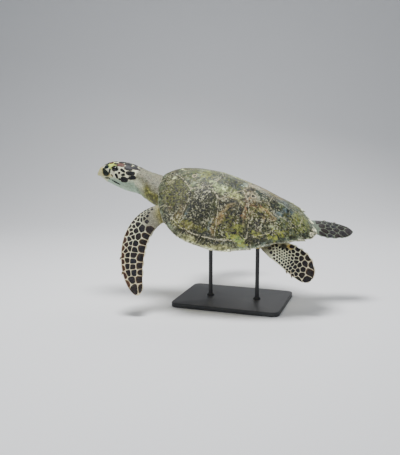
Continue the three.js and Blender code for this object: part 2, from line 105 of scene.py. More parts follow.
def washed(colour: Array, *washes: tuple[str, Array]) -> Array:
    """Lay washes over colours.

    Args:
        colour: One linear colour, or one for each place.
        washes: Hex colours in order, each with its share at each place.

    Returns:
        The colours under all the washes.
    """
    for code, share in washes:
        colour = blend(colour, tint(code), share)
    return colour


def curve(knots: Sequence[float], values: Sequence[float]) -> Curve:
    """Make a smooth curve through values at knots, level beyond its ends.

    Args:
        knots: Places along the curve, rising.
        values: The curve's height at each.

    Returns:
        A function of an array of places.
    """
    at = np.asarray(knots, float)
    high = np.asarray(values, float)
    last = len(at) - 1
    before = np.maximum(np.arange(last + 1) - 1, 0)
    after = np.minimum(np.arange(last + 1) + 1, last)
    slope = (high[after] - high[before]) / (at[after] - at[before])

    def height(place: Array) -> Array:
        """Give the curve's height.

        Args:
            place: Places along the curve.

        Returns:
            The curve's height at each.
        """
        t = np.clip(np.asarray(place, float), at[0], at[-1])
        i = np.clip(np.searchsorted(at, t, side="right") - 1, 0, last - 1)
        step = at[i + 1] - at[i]
        u = (t - at[i]) / step
        rise = (high[i + 1] - high[i]) * u * u * (3 - 2 * u)
        lead = u * (1 - u) ** 2 * step * slope[i]
        tail = u * u * (1 - u) * step * slope[i + 1]
        return high[i] + rise + lead - tail

    return height


def wet(colour: Array, depth: float, chroma: float) -> Array:
    """Deepen and strengthen colours the way a film of water does.

    Args:
        colour: Linear colours.
        depth: More than 1 darkens.
        chroma: More than 1 strengthens.

    Returns:
        The colours under water's film.
    """
    colour = np.clip(colour, 0, 1) ** depth
    grey = colour @ np.array([0.21, 0.72, 0.07])
    return np.clip(grey[..., None] + (colour - grey[..., None]) * chroma, 0, 1)


def smooth(low: float, high: float, value: Array) -> Array:
    """Rise softly from 0 at `low` to 1 at `high`; either may be the larger."""
    u = np.clip((np.asarray(value, float) - low) / (high - low), 0, 1)
    return u * u * (3 - 2 * u)


def unit(vectors: Array) -> Array:
    """Scale vectors, one or many, to length 1."""
    v = np.asarray(vectors, float)
    return v / np.maximum(np.linalg.norm(v, axis=-1, keepdims=True), 1e-12)


def turn(axis: str, degrees: float) -> Array:
    """Give the 3 by 3 rotation about one axis."""
    return np.array(Matrix.Rotation(math.radians(degrees), 3, axis))


def spun(angle: Array) -> Array:
    """Give the plane's directions at angles."""
    return np.stack([np.cos(angle), np.sin(angle)], axis=1)


def circle(count: int) -> Array:
    """Divide a whole turn into angles."""
    return np.arange(count) / count * 2 * np.pi


def run_of(line: Array) -> Array:
    """Give how far along a line each of its points lies."""
    return np.concatenate([[0], np.cumsum(np.linalg.norm(np.diff(line, axis=0), axis=1))])


def placed_along(line: Array, shares: Array) -> Array:
    """Give the points of a flat line at shares of its length.

    Args:
        line: K by 2 points.
        shares: Shares of its length.

    Returns:
        N by 2 points.
    """
    run = run_of(line)
    wanted = np.asarray(shares, float) * run[-1]
    return np.stack([np.interp(wanted, run, line[:, i]) for i in (0, 1)], axis=1)


def outline_of(angle: Array, furthest: float, covers: Callable[[Array, Array], Array]) -> Array:
    """Find an outline round the origin by halving.

    Args:
        angle: The directions to look in.
        furthest: A reach that is outside in every direction.
        covers: Says which places lie inside.

    Returns:
        One point of the plan for each direction.
    """
    inside, outside = np.zeros(len(angle)), np.full(len(angle), furthest)
    for _ in range(HALVINGS):
        r = (inside + outside) / 2
        held = covers(r * np.cos(angle), r * np.sin(angle))
        inside, outside = np.where(held, r, inside), np.where(held, outside, r)
    return spun(angle) * inside[:, None]


def noise(points: Array, size: float, seed: int = SEED) -> Array:
    """Give smooth value noise.

    Args:
        points: N by 3 places, in mm.
        size: How far apart unlike values lie, in mm.
        seed: Chooses the pattern.

    Returns:
        N values, about -1 to 1.
    """
    grid = np.random.default_rng(seed).uniform(-1, 1, (GRID, GRID, GRID))
    p = np.asarray(points, float) / size
    low = np.floor(p).astype(int)
    u = p - low
    u = u * u * (3 - 2 * u)
    total = np.zeros(len(p))
    for corner in np.ndindex(2, 2, 2):
        i, j, k = ((low + corner) % GRID).T
        weight = np.prod(np.where(np.array(corner) == 1, u, 1 - u), axis=1)
        total += weight * grid[i, j, k]
    return total


# ---------- where the turtle is ----------


@dataclass(frozen=True)
class HeadShape:
    """The skull's sizes: a rounded section whose top, bottom and width change toward the beak."""

    length: float = 176.0
    base: Spot = (-417.0, 7.0, 16.0)
    pitch_down: float = 1.5
    yaw_left: float = 11.5
    roll_right: float = 22.0
    power: float = 2.3
    top: Curve = curve(
        [0, 0.15, 0.35, 0.55, 0.68, 0.8, 0.9, 0.97, 1],
        [0.21, 0.255, 0.275, 0.27, 0.25, 0.2, 0.125, 0.03, -0.05],
    )
    bottom: Curve = curve(
        [0, 0.2, 0.4, 0.6, 0.75, 0.86, 0.95, 1],
        [0.4, 0.385, 0.345, 0.29, 0.24, 0.185, 0.135, 0.1],
    )
    half: Curve = curve(
        [0, 0.15, 0.32, 0.5, 0.62, 0.72, 0.82, 0.92, 0.98, 1],
        [0.26, 0.285, 0.295, 0.265, 0.228, 0.19, 0.142, 0.09, 0.05, 0.02],
    )

    def axes(self) -> Array:
        """Give the rotation whose columns are the beak's, the left and the crown's directions."""
        yaw = turn("Z", 180 + self.yaw_left)
        return yaw @ turn("Y", self.pitch_down) @ turn("X", self.roll_right)

    def point(self, places: Array) -> Array:
        """Set places given as along, left and up, in head lengths, in the turtle's frame."""
        return np.asarray(places, float) * self.length @ self.axes().T + np.array(self.base)

    def local(self, points: Array) -> Array:
        """Give points of the turtle's frame as along, left and up, in head lengths."""
        return (np.asarray(points, float) - np.array(self.base)) @ self.axes() / self.length


@dataclass(frozen=True)
class EyeShape:
    """One eyeball: its place as along, left and up in head lengths, and its radius."""

    along: float = 0.578
    left: float = 0.158
    up: float = 0.1
    radius: float = 13.0

    def place(self, side: int) -> Array:
        """Give the ball's middle in head lengths, left for 1 and right for -1."""
        return np.array([self.along, side * self.left, self.up])


HEAD = HeadShape()
EYE = EyeShape()


class Pose:
    """Sets the turtle's frame in the row's frame, by the places of the two eyes."""

    pitch_up = 14.57
    roll_left = 22.62

    def __init__(self) -> None:
        """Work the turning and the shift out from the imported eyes."""
        self.turned = turn("Y", self.pitch_up) @ turn("X", self.roll_left)
        shifts = []
        for side, node in ((1, "eye_left"), (-1, "eye_right")):
            low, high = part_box(node)
            middle = np.array((low + high) / 2) / MM
            shifts.append(middle - self.turned @ HEAD.point(EYE.place(side)))
        self.shift = np.mean(shifts, axis=0)

    def world(self, points: Array) -> Array:
        """Turn points of the turtle's frame, in mm, to the row's frame, in metres."""
        return (np.asarray(points, float) @ self.turned.T + self.shift) * MM

    def body(self, points: Array) -> Array:
        """Turn points of the row's frame, in metres, to the turtle's frame, in mm."""
        return (np.asarray(points, float) / MM - self.shift) @ self.turned


POSE = Pose()


# ---------- the shell's and the limbs' shapes ----------


@dataclass(frozen=True)
class ShellShape:
    """The carapace over its plan: a ridge, a margin and a half-width along the back."""

    length: float = 620.0
    half_width: float = 234.0
    height: float = 135.0
    power: float = 1.5
    thickness: float = 11.0
    edge_thickness: float = 3.4
    marginals: int = 12
    nuchal_share: float = 0.045
    tooth_front: float = 1.5
    tooth_rear: float = 12.5
    flare: float = -0.12
    width: Curve = curve(
        [0, 0.03, 0.08, 0.16, 0.28, 0.42, 0.56, 0.7, 0.82, 0.92, 1],
        [0.23, 0.4, 0.66, 0.9, 1.02, 1.01, 0.96, 0.815, 0.615, 0.385, 0.13],
    )
    crest: Curve = curve(
        [0, 0.05, 0.12, 0.2, 0.3, 0.4, 0.5, 0.6, 0.7, 0.8, 0.9, 1],
        [0.49, 0.65, 0.74, 0.86, 0.97, 1, 0.955, 0.89, 0.765, 0.61, 0.36, 0.11],
    )
    rim: Curve = curve(
        [0, 0.06, 0.12, 0.2, 0.3, 0.5, 0.7, 0.85, 1],
        [0.065, 0.055, 0.027, -0.007, -0.038, -0.053, -0.011, 0.029, 0.013],
    )

    def half(self, x: Array) -> Array:
        """Give the half-width at places along the back."""
        return self.half_width * self.width(np.asarray(x) / self.length + 0.5)

    def top(self, x: Array, y: Array) -> Array:
        """Give the outer face's height over points of the plan, level beyond the margin.

        Args:
            x: Places along the back, mm.
            y: Places across the back, mm.

        Returns:
            Heights, mm.
        """
        t = np.asarray(x, float) / self.length + 0.5
        ridge = self.height * self.crest(t)
        margin = self.length * self.rim(t)
        across = np.clip(np.abs(y) / self.half(x), 0, 1)
        return margin + (ridge - margin) * (1 - across**self.power)

    def plan(self, t: Array, s: Array) -> Array:
        """Turn a share along the back and a share across it to a point of the plan."""
        x = (np.asarray(t, float) - 0.5) * self.length
        return np.stack([x, np.asarray(s, float) * self.half(x)], axis=-1)

    def covers(self, x: Array, y: Array) -> Array:
        """Say which points of the plan lie inside the margin's base line."""
        return (np.abs(x) < self.length / 2) & (np.abs(y) < self.half(x))

    def margin(self, fractions: Array) -> Array:
        """Give the right side's margin at shares of its length, from the front middle back."""
        angle = np.pi * (1 - np.arange(361) / 360)
        return placed_along(outline_of(angle, self.length, self.covers), fractions)

    def radial(self, x: Array, y: Array) -> Array:
        """Give how far out points of the plan lie: 0 in the middle, 1 on the margin's base line.

        Args:
            x: Places along the back, mm.
            y: Places across the back, mm.

        Returns:
            Shares of the way out, more than 1 beyond it.
        """
        line = self.margin(np.linspace(0, 1, 241))
        angle = np.arctan2(line[::-1, 1], line[::-1, 0])
        reach = np.linalg.norm(line[::-1], axis=1)
        return np.hypot(x, y) / np.interp(np.arctan2(np.abs(y), x), angle, reach)

    def outer(self, x: Array, y: Array) -> Array:
        """Give the outer face's height, sloping down beyond the margin's base line.

        Args:
            x: Places along the back, mm.
            y: Places across the back, mm.

        Returns:
            Heights, mm.
        """
        out = np.maximum(self.radial(x, y), 1)
        beyond = np.hypot(x, y) * (1 - 1 / out)
        return self.top(x / out, y / out) + self.flare * beyond

    def depth(self, share: Array) -> Array:
        """Give the whole shell's thickness at a share of the way out."""
        rim = np.clip((share - 0.7) / 0.3, 0, 1)
        return self.thickness + (self.edge_thickness - self.thickness) * rim

    def under(self, x: Array, y: Array) -> Array:
        """Give the inner face's height over points of the plan."""
        return self.outer(x, y) - self.depth(np.minimum(self.radial(x, y), 1))

    def marginal(self, order: float) -> float:
        """Give the share of the half outline where a marginal plate starts."""
        return self.nuchal_share + (1 - self.nuchal_share) * order / self.marginals

    def tooth(self, order: int, share: Array) -> Array:
        """Give how far the serrated edge stands out at a share of one marginal's length.

        Args:
            order: The plate's number from the front.
            share: Shares of its length.

        Returns:
            Millimetres.
        """
        rearward = min(max((order - 4) / (self.marginals - 5), 0), 1)
        size = self.tooth_front + (self.tooth_rear - self.tooth_front) * rearward**1.5
        return size * np.asarray(share, float) ** 1.6


@dataclass(frozen=True)
class PlastronShape:
    """The belly plate: flat in the middle, lifting to its ends and its bridges."""

    depth: float = 82.0
    thickness: float = 9.0
    front: float = -246.0
    rear: float = 236.0
    rise: float = 72.0
    share: Curve = curve(
        [0, 0.04, 0.1, 0.2, 0.27, 0.6, 0.68, 0.8, 0.92, 1],
        [0.2, 0.32, 0.42, 0.47, 0.86, 0.86, 0.5, 0.42, 0.27, 0.07],
    )

    def half(self, x: Array) -> Array:
        """Give the half-width at places along the belly."""
        t = (np.asarray(x, float) - self.front) / (self.rear - self.front)
        return SHELL.half(x) * self.share(t)

    def covers(self, x: Array, y: Array) -> Array:
        """Say which points of the plan the plate covers."""
        held = np.clip(x, self.front, self.rear)
        return (x > self.front) & (x < self.rear) & (np.abs(y) < self.half(held))

    def under(self, x: Array, y: Array) -> Array:
        """Give the outer face's height under points of the plan.

        Args:
            x: Places along the back, mm.
            y: Places across the back, mm.

        Returns:
            Heights, mm.
        """
        end = np.clip((np.abs(np.asarray(x, float) + 10) - 120) / 130, 0, 1.2)
        across = np.abs(y) / SHELL.half(x)
        bridge = np.clip((across - 0.45) / 0.4, 0, 1.2)
        return -self.depth + 30 * end**1.6 + self.rise * bridge**1.5


SHELL = ShellShape()
PLASTRON = PlastronShape()


class Side(Enum):
    """The turtle's two sides, as the sign of +Y in its own frame."""

    LEFT = -1
    RIGHT = 1


@dataclass(frozen=True)
class Blade:
    """A flipper's reach before and behind its spine, and its half thickness, along the span."""

    lead: Curve
    trail: Curve
    thick: Curve


FRONT_SPAN = [0, 0.12, 0.3, 0.48, 0.64, 0.8, 0.92, 0.98, 1]
FRONT_BLADE = Blade(
    lead=curve(FRONT_SPAN, [26, 32, 42, 45, 42, 37, 27, 15, 3]),
    trail=curve(FRONT_SPAN, [36, 40, 48, 50, 48, 40, 29, 16, 3]),
    thick=curve(FRONT_SPAN, [30, 27, 15, 9.5, 7.5, 5.5, 3.6, 2.4, 1.6]),
)
HIND_SPAN = [0, 0.2, 0.4, 0.6, 0.75, 0.88, 0.96, 1]
HIND_BLADE = Blade(
    lead=curve(HIND_SPAN, [36, 48, 51, 52, 47, 36, 22, 5]),
    trail=curve(HIND_SPAN, [26, 31, 42, 52, 50, 38, 22, 5]),
    thick=curve(HIND_SPAN, [24, 19, 12, 8, 6.5, 4.6, 3.2, 2]),
)


@dataclass(frozen=True)
class Flipper:
    """One flipper: a Bezier spine and a blade whose face turns along it."""

    name: str
    side: Side
    blade: Blade
    spine: tuple[Spot, ...]
    face_root: Spot
    face_tip: Spot

    def line(self, t: Array) -> Array:
        """Give the spine at Bezier parameters.

        Args:
            t: Bezier parameters.

        Returns:
            Points in the turtle's frame.
        """
        a, b, c, d = (np.array(p, float) for p in self.spine)
        u = np.asarray(t, float)[..., None]
        return (1 - u) ** 3 * a + 3 * (1 - u) ** 2 * u * b + 3 * (1 - u) * u * u * c + u**3 * d

    def even(self, share: Array) -> Array:
        """Turn shares of the spine's length to Bezier parameters.

        Args:
            share: Shares of the length.

        Returns:
            Bezier parameters.
        """
        steps = np.linspace(0, 1, 201)
        run = run_of(self.line(steps))
        return np.interp(np.asarray(share, float) * run[-1], run, steps)

    def length(self) -> float:
        """Give the spine's length."""
        line = self.line(np.linspace(0, 1, 201))
        return float(np.linalg.norm(np.diff(line, axis=0), axis=1).sum())

    def frame(self, share: Array) -> tuple[Array, Array, Array, Array]:
        """Give the spine, its direction, the chord to the leading edge and the outward normal.

        Args:
            share: Shares of the span.

        Returns:
            Four arrays of vectors.
        """
        t = self.even(share)
        at = self.line(t)
        along = unit(self.line(np.minimum(t + 0.002, 1.002)) - self.line(t - 0.002))
        blend = np.minimum(1, 1.6 * np.asarray(share, float))[..., None]
        face = np.array(self.face_root) * (1 - blend) + np.array(self.face_tip) * blend
        chord = unit(np.cross(face, along)) * self.side.value
        out = unit(np.cross(chord, along)) * self.side.value
        return at, along, chord, out * np.sign(np.sum(out * face, axis=-1, keepdims=True))

    def surface(self, share: Array, angle: Array, inset: float = 0.0) -> Array:
        """Give points of the blade's surface.

        Args:
            share: Shares of the span.
            angle: Turn round the section: 0 is the leading edge, a quarter turn the outer face.
            inset: How far inside the outline, in mm; thin parts are inset less.

        Returns:
            The points.
        """
        at, _, chord, out = self.frame(share)
        c, s = np.cos(angle), np.sin(angle)
        thick = self.blade.thick(share)
        reach = np.where(c > 0, self.blade.lead(share), self.blade.trail(share))
        reach = np.maximum(reach - 0.6 * inset, 1.0)
        high = np.maximum(thick - inset, 0.7 * thick) * s * (1 + 0.35 * c)
        return at + chord * (c * reach)[..., None] + out * high[..., None]


FLIPPERS = (
    Flipper(
        "front_left", Side.LEFT, FRONT_BLADE,
        ((-206, -118, -10), (-322, -188, 16), (-330, -322, -110), (-212, -390, -224)),
        (-0.1, -0.5, 0.86), (0.257, -0.768, 0.587),
    ),
    Flipper(
        "front_right", Side.RIGHT, FRONT_BLADE,
        ((-206, 118, -22), (-300, 190, -30), (-240, 330, -110), (-70, 385, -160)),
        (0, 0.35, 0.94), (0.1, 0.42, 0.9),
    ),
    Flipper(
        "hind_left", Side.LEFT, HIND_BLADE,
        ((158, -92, -26), (232, -112, -28), (302, -90, -58), (352, -130, -120)),
        (0.1, -0.55, 0.83), (0.257, -0.768, 0.587),
    ),
    Flipper(
        "hind_right", Side.RIGHT, HIND_BLADE,
        ((170, 88, -38), (250, 116, -60), (340, 160, -64), (442, 192, -60)),
        (0, 0.36, 0.93), (0.1, -0.04, 0.97),
    ),
)
FLIPPER_NODES = [f"{end}_flipper_{side}" for end in ("front", "hind") for side in ("left", "right")]


# ---------- meshes ----------


@dataclass
class Shape:
    """A mesh being made, in the turtle's frame: points, faces and values for each point."""

    points: Array
    faces: Faces
    values: dict[str, Array] = field(default_factory=dict)

    def tinted(self, colour: Array) -> "Shape":
        """Give the same mesh with a colour for each point."""
        return replace(self, values={"Tint": colour})


def joined(shapes: Iterable[Shape]) -> Shape:
    """Join many meshes into one.

    Args:
        shapes: Meshes that carry the same values.

    Returns:
        One mesh.
    """
    parts = list(shapes)
    starts = np.cumsum([0] + [len(part.points) for part in parts])
    faces = [
        [i + int(start) for i in face] for part, start in zip(parts, starts) for face in part.faces
    ]
    keys = parts[0].values.keys()
    values = {key: np.concatenate([part.values[key] for part in parts]) for key in keys}
    return Shape(np.concatenate([part.points for part in parts]), faces, values)


def loft(rings: Array) -> Shape:
    """Close a body through rings of equally many points, with a fan over each end.

    Args:
        rings: K by N by 3 points.

    Returns:
        The closed body.
    """
    count, sides = rings.shape[:2]
    i = np.arange(count - 1)[:, None] * sides
    j = np.arange(sides)[None, :]
    after = (j + 1) % sides
    quads = np.stack([i + j, i + after, i + after + sides, i + j + sides], axis=-1)
    faces: Faces = quads.reshape(-1, 4).tolist()
    centres = [rings[0].mean(0), rings[-1].mean(0)]
    first, last = count * sides, count * sides + 1
    end = (count - 1) * sides
    for k in range(sides):
        after_k = (k + 1) % sides
        faces.append((first, after_k, k))
        faces.append((last, end + k, end + after_k))
    return Shape(np.concatenate([rings.reshape(-1, 3), centres]), faces)


def capped(rings: int, sides: int) -> Faces:
    """List a plate's faces over its rings of points, its middle and its under-middle.

    Args:
        rings: How many rings there are.
        sides: Points in each.

    Returns:
        The faces of points that run ring by ring, with the two middles last.
    """
    i = np.arange(sides)
    j = (i + 1) % sides
    rows = [
        np.stack([k + i, k + j, k + sides + j, k + sides + i], 1)
        for k in sides * np.arange(rings - 1)
    ]
    faces: Faces = np.concatenate(rows).tolist()
    top = rings * sides
    for a, b in zip(i.tolist(), j.tolist()):
        faces += [(top - sides + a, top - sides + b, top), (b, a, top + 1)]
    return faces


def plated(x: Array, y: Array, over: Array, under: Array, sides: int) -> Shape:
    """Close a plate between two faces' heights over the same rings of the plan."""
    top, low = (np.column_stack([x, y, z]).reshape(-1, sides, 3) for z in (over, under))
    return loft(np.concatenate([top, low[::-1]]))


def linked(name: str, data: bpy.types.ID) -> Piece:
    """Make an object of its data and put it in the scene.

    Args:
        name: The object's name.
        data: Its mesh, camera or light.

    Returns:
        The object.
    """
    made = bpy.data.objects.new(name, data)
    bpy.context.scene.collection.objects.link(made)
    return made


def mesh_object(name: str, shape: Shape) -> Piece:
    """Make a Blender object of a mesh, set in the row's frame, with outward faces.

    Args:
        name: The piece's name.
        shape: The mesh; `Tint` values become a colour attribute, others plain ones.

    Returns:
        The object, linked to the scene.
    """
    mesh = bpy.data.meshes.new(name)
    mesh.from_pydata(POSE.world(shape.points).tolist(), [], [list(f) for f in shape.faces])
    made = bmesh.new()
    made.from_mesh(mesh)
    bmesh.ops.recalc_face_normals(made, faces=made.faces)
    made.to_mesh(mesh)
    made.free()
    store(mesh, shape.values)
    mesh.shade_smooth()
    return linked(name, mesh)


def read(
    items: bpy.types.bpy_prop_collection, name: str, width: int, kind: type = np.float32
) -> Array:
    """Read one property of a mesh's parts, as rows of so many numbers.

    Args:
        items: The parts, such as its points.
        name: The property.
        width: Numbers for each part.
        kind: The numbers' type.

    Returns:
        One row for each part.
    """
    flat = np.empty(len(items) * width, kind)
    items.foreach_get(name, flat)
    return flat.reshape(-1, width)


def store(mesh: bpy.types.Mesh, values: dict[str, Array]) -> None:
    """Write values for each point into a mesh as attributes.

    Args:
        mesh: The mesh.
        values: Values for each point by attribute; `OFBake` becomes a UV map.
    """
    for key, value in values.items():
        if key == "OFBake":
            corners = read(mesh.loops, "vertex_index", 1, np.int32)[:, 0]
            layer = mesh.uv_layers.new(name=key)
            layer.data.foreach_set("uv", np.ascontiguousarray(value[corners], np.float32).ravel())
            continue
        if value.ndim == 1:
            kind, slot = "FLOAT", "value"
        elif key == "Tint":
            kind, slot = "FLOAT_COLOR", "color"
            value = np.concatenate([value, np.ones((len(value), 1))], axis=1)
        else:
            kind, slot = "FLOAT_VECTOR", "vector"
        layer = mesh.attributes.new(key, kind, "POINT")
        layer.data.foreach_set(slot, np.ascontiguousarray(value, np.float32).ravel())


def points_of(mesh: bpy.types.Mesh) -> Array:
    """Read a mesh's points as an N by 3 array."""
    return read(mesh.vertices, "co", 3).astype(float)


def move_points(mesh: bpy.types.Mesh, points: Array) -> None:
    """Write a mesh's points back from an N by 3 array."""
    mesh.vertices.foreach_set("co", np.ascontiguousarray(points, np.float32).ravel())
    mesh.update()


def relax(points: Array, edges: Array, weight: Array, rounds: int, keep: bool = False) -> Array:
    """Draw points toward the mean of their neighbours.

    Args:
        points: N by 3 points.
        edges: M by 2 neighbours.
        weight: How strongly each point moves, 0 to 1.
        rounds: How many times.
        keep: Whether every second round pushes back, so that thin parts keep their size.

    Returns:
        The moved points.
    """
    moving = weight > 0.001
    used = edges[moving[edges].any(axis=1)]
    both = np.concatenate([used, used[:, ::-1]])
    count = np.maximum(np.bincount(both[:, 0], minlength=len(points)), 1)
    p = points.copy()
    for k in range(rounds):
        step = PUSH if keep and k % 2 else PULL
        near = [np.bincount(both[:, 0], p[both[:, 1], i], len(p)) / count for i in range(3)]
        delta = np.stack(near, axis=1) - p
        p[moving] += step * weight[moving, None] * delta[moving]
    return p


def applied(piece: Piece, modifier: bpy.types.Modifier) -> None:
    """Make what a modifier gives the piece's own mesh, and remove the modifier.

    Args:
        piece: The object.
        modifier: Its only modifier.
    """
    graph = bpy.context.evaluated_depsgraph_get()
    made = bpy.data.meshes.new_from_object(piece.evaluated_get(graph), depsgraph=graph)
    piece.modifiers.remove(modifier)
    piece.data = made


def with_modifier(piece: Piece, kind: str, **settings: object) -> None:
    """Apply one modifier to a piece's mesh.

    Args:
        piece: The object.
        kind: Blender's modifier type.
        settings: The modifier's settings.
    """
    modifier = piece.modifiers.new(kind.title(), kind)
    for key, value in settings.items():
        setattr(modifier, key, value)
    applied(piece, modifier)


def finish_piece(
    piece: Piece, material: Finish, replaced: Sequence[str] = ()
) -> None:
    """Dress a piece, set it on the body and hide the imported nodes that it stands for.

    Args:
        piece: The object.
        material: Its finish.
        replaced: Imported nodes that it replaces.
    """
    piece.data.materials.clear()
    piece.data.materials.append(material)
    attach(piece, "root")
    if replaced:
        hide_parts(*replaced)
    piece.data.calc_loop_triangles()
    LOG.info("%s: %d triangles", piece.name, len(piece.data.loop_triangles))


# ---------- finishes ----------

MIXED = {"data_type": "RGBA"}
DARKENED = {**MIXED, "blend_type": "MULTIPLY"}


def add_node(
    tree: bpy.types.NodeTree, kind: str, inputs: dict, **settings: object
) -> bpy.types.Node:
    """Add a node to a tree.

    Args:
        tree: The tree.
        kind: Blender's node type.
        inputs: Values, or sockets to link, by the input's name or number.
        settings: The node's own settings.

    Returns:
        The node.
    """
    node = tree.nodes.new(kind)
    for key, value in settings.items():
        setattr(node, key, value)
    for key, value in inputs.items():
        if isinstance(value, bpy.types.NodeSocket):
            tree.links.new(value, node.inputs[key])
        else:
            node.inputs[key].default_value = value
    return node


class Nodes:
    """A material's node tree, with one way to add a node."""

    def __init__(self, name: str) -> None:
        """Start a material from an empty tree.

        Args:
            name: The material's name.
        """
        self.material = bpy.data.materials.new(name)
        self.material.use_nodes = True
        self.tree = self.material.node_tree
        self.tree.nodes.clear()

    def add(
        self, kind: str, inputs: dict | None = None, output: str | int = 0, **settings: object
    ) -> bpy.types.NodeSocket | None:
        """Add a shader node, whose type goes without its prefix, and give one of its outputs."""
        node = add_node(self.tree, f"ShaderNode{kind}", inputs or {}, **settings)
        return node.outputs[output] if node.outputs else None

    def shader(self, inputs: dict) -> Finish:
        """End the tree in one principled shader with these values and links.

        Args:
            inputs: Values and sockets by the shader's inputs.

        Returns:
            The material.
        """
        surface = self.add("BsdfPrincipled", inputs)
        self.add("OutputMaterial", {"Surface": surface})
        return self.material


@dataclass(frozen=True)
class ReptileSkin:
    """Supple keratinised skin: matt, finely pebbled, with the light sinking in a little."""

    name: str = "Turtle skin"
    pebble: float = 2.6  # mm between the skin's small scales
    crease: float = 11.0  # mm between creases
    # The two darkening colours below are dirt together with painted shade.
    crease_dirt_and_shade: str = "8d8a77"
    pebble_dirt_and_shade: str = "8f8b78"

    def make(self) -> Finish:
        """Build the material over the piece's painted tint.

        Returns:
            The material.
        """
        n = Nodes(self.name)
        place = n.add("TexCoord", output="Object")
        painted = n.add("Attribute", output="Color", attribute_name="Tint")
        pebbles = n.add("TexVoronoi", {"Vector": place, "Scale": 1 / (self.pebble * MM)})
        creases = n.add("TexNoise", {
            "Vector": place, "Scale": 1 / (self.crease * MM), "Detail": 4.0,
        })
        # Dirt and painted shade gather in the creases and between the pebbles.
        patch = n.add("MapRange", {0: creases, 1: 0.42, 2: 0.7, 4: 0.35})
        creased = n.add("Mix", {0: patch, 6: painted, 7: linear(self.crease_dirt_and_shade)}, 2, **DARKENED)
        between = n.add("MapRange", {0: pebbles, 1: 0.45, 2: 0.8, 4: 0.45})
        edged = n.add("Mix", {0: between, 6: creased, 7: linear(self.pebble_dirt_and_shade)}, 2, **DARKENED)
        slack = n.add("Bump", {"Height": creases, "Distance": 0.8 * MM})
        raised = n.add("MapRange", {0: pebbles, 1: 0.0, 2: 0.75, 3: 1.0, 4: 0.0})
        normal = n.add("Bump", {"Height": raised, "Distance": 0.35 * MM, "Normal": slack})
        return n.shader({
            "Base Color": edged, "Roughness": 0.58, "Normal": normal, "IOR": 1.45,
            "Subsurface Weight": 0.06, "Subsurface Scale": 3 * MM,
        })


@dataclass(frozen=True)
class HornScale:
    """Horn: smooth and a little glossy when wet, worn paler on its crowns."""

    name: str = "Horny scale"
    wear: float = 7.0  # mm between worn spots
    worn: str = "8c8a80"
    roughness: float = 0.52
    dirt: str = "55524e"

    def make(self) -> Finish:
        """Build the material over each scale's painted tint.

        Returns:
            The material.
        """
        n = Nodes(self.name)
        place = n.add("TexCoord", output="Object")
        painted = n.add("Attribute", output="Color", attribute_name="Tint")
        worn = n.add("TexNoise", {"Vector": place, "Scale": 1 / (self.wear * MM), "Detail": 5.0})
        high = n.add("MapRange", {0: worn, 1: 0.5, 2: 0.78, 4: 0.16})
        pale = n.add("Mix", {0: high, 6: painted, 7: linear(self.worn)}, 2, **MIXED)
        low = n.add("MapRange", {0: worn, 1: 0.5, 2: 0.3, 4: 0.4})
        deep = n.add("Mix", {0: low, 6: pale, 7: linear(self.dirt)}, 2, **DARKENED)
        normal = n.add("Bump", {"Height": worn, "Distance": 0.35 * MM})
        return n.shader({
            "Base Color": deep, "Roughness": self.roughness, "Normal": normal, "IOR": 1.54,
            "Specular IOR Level": 0.2,
        })


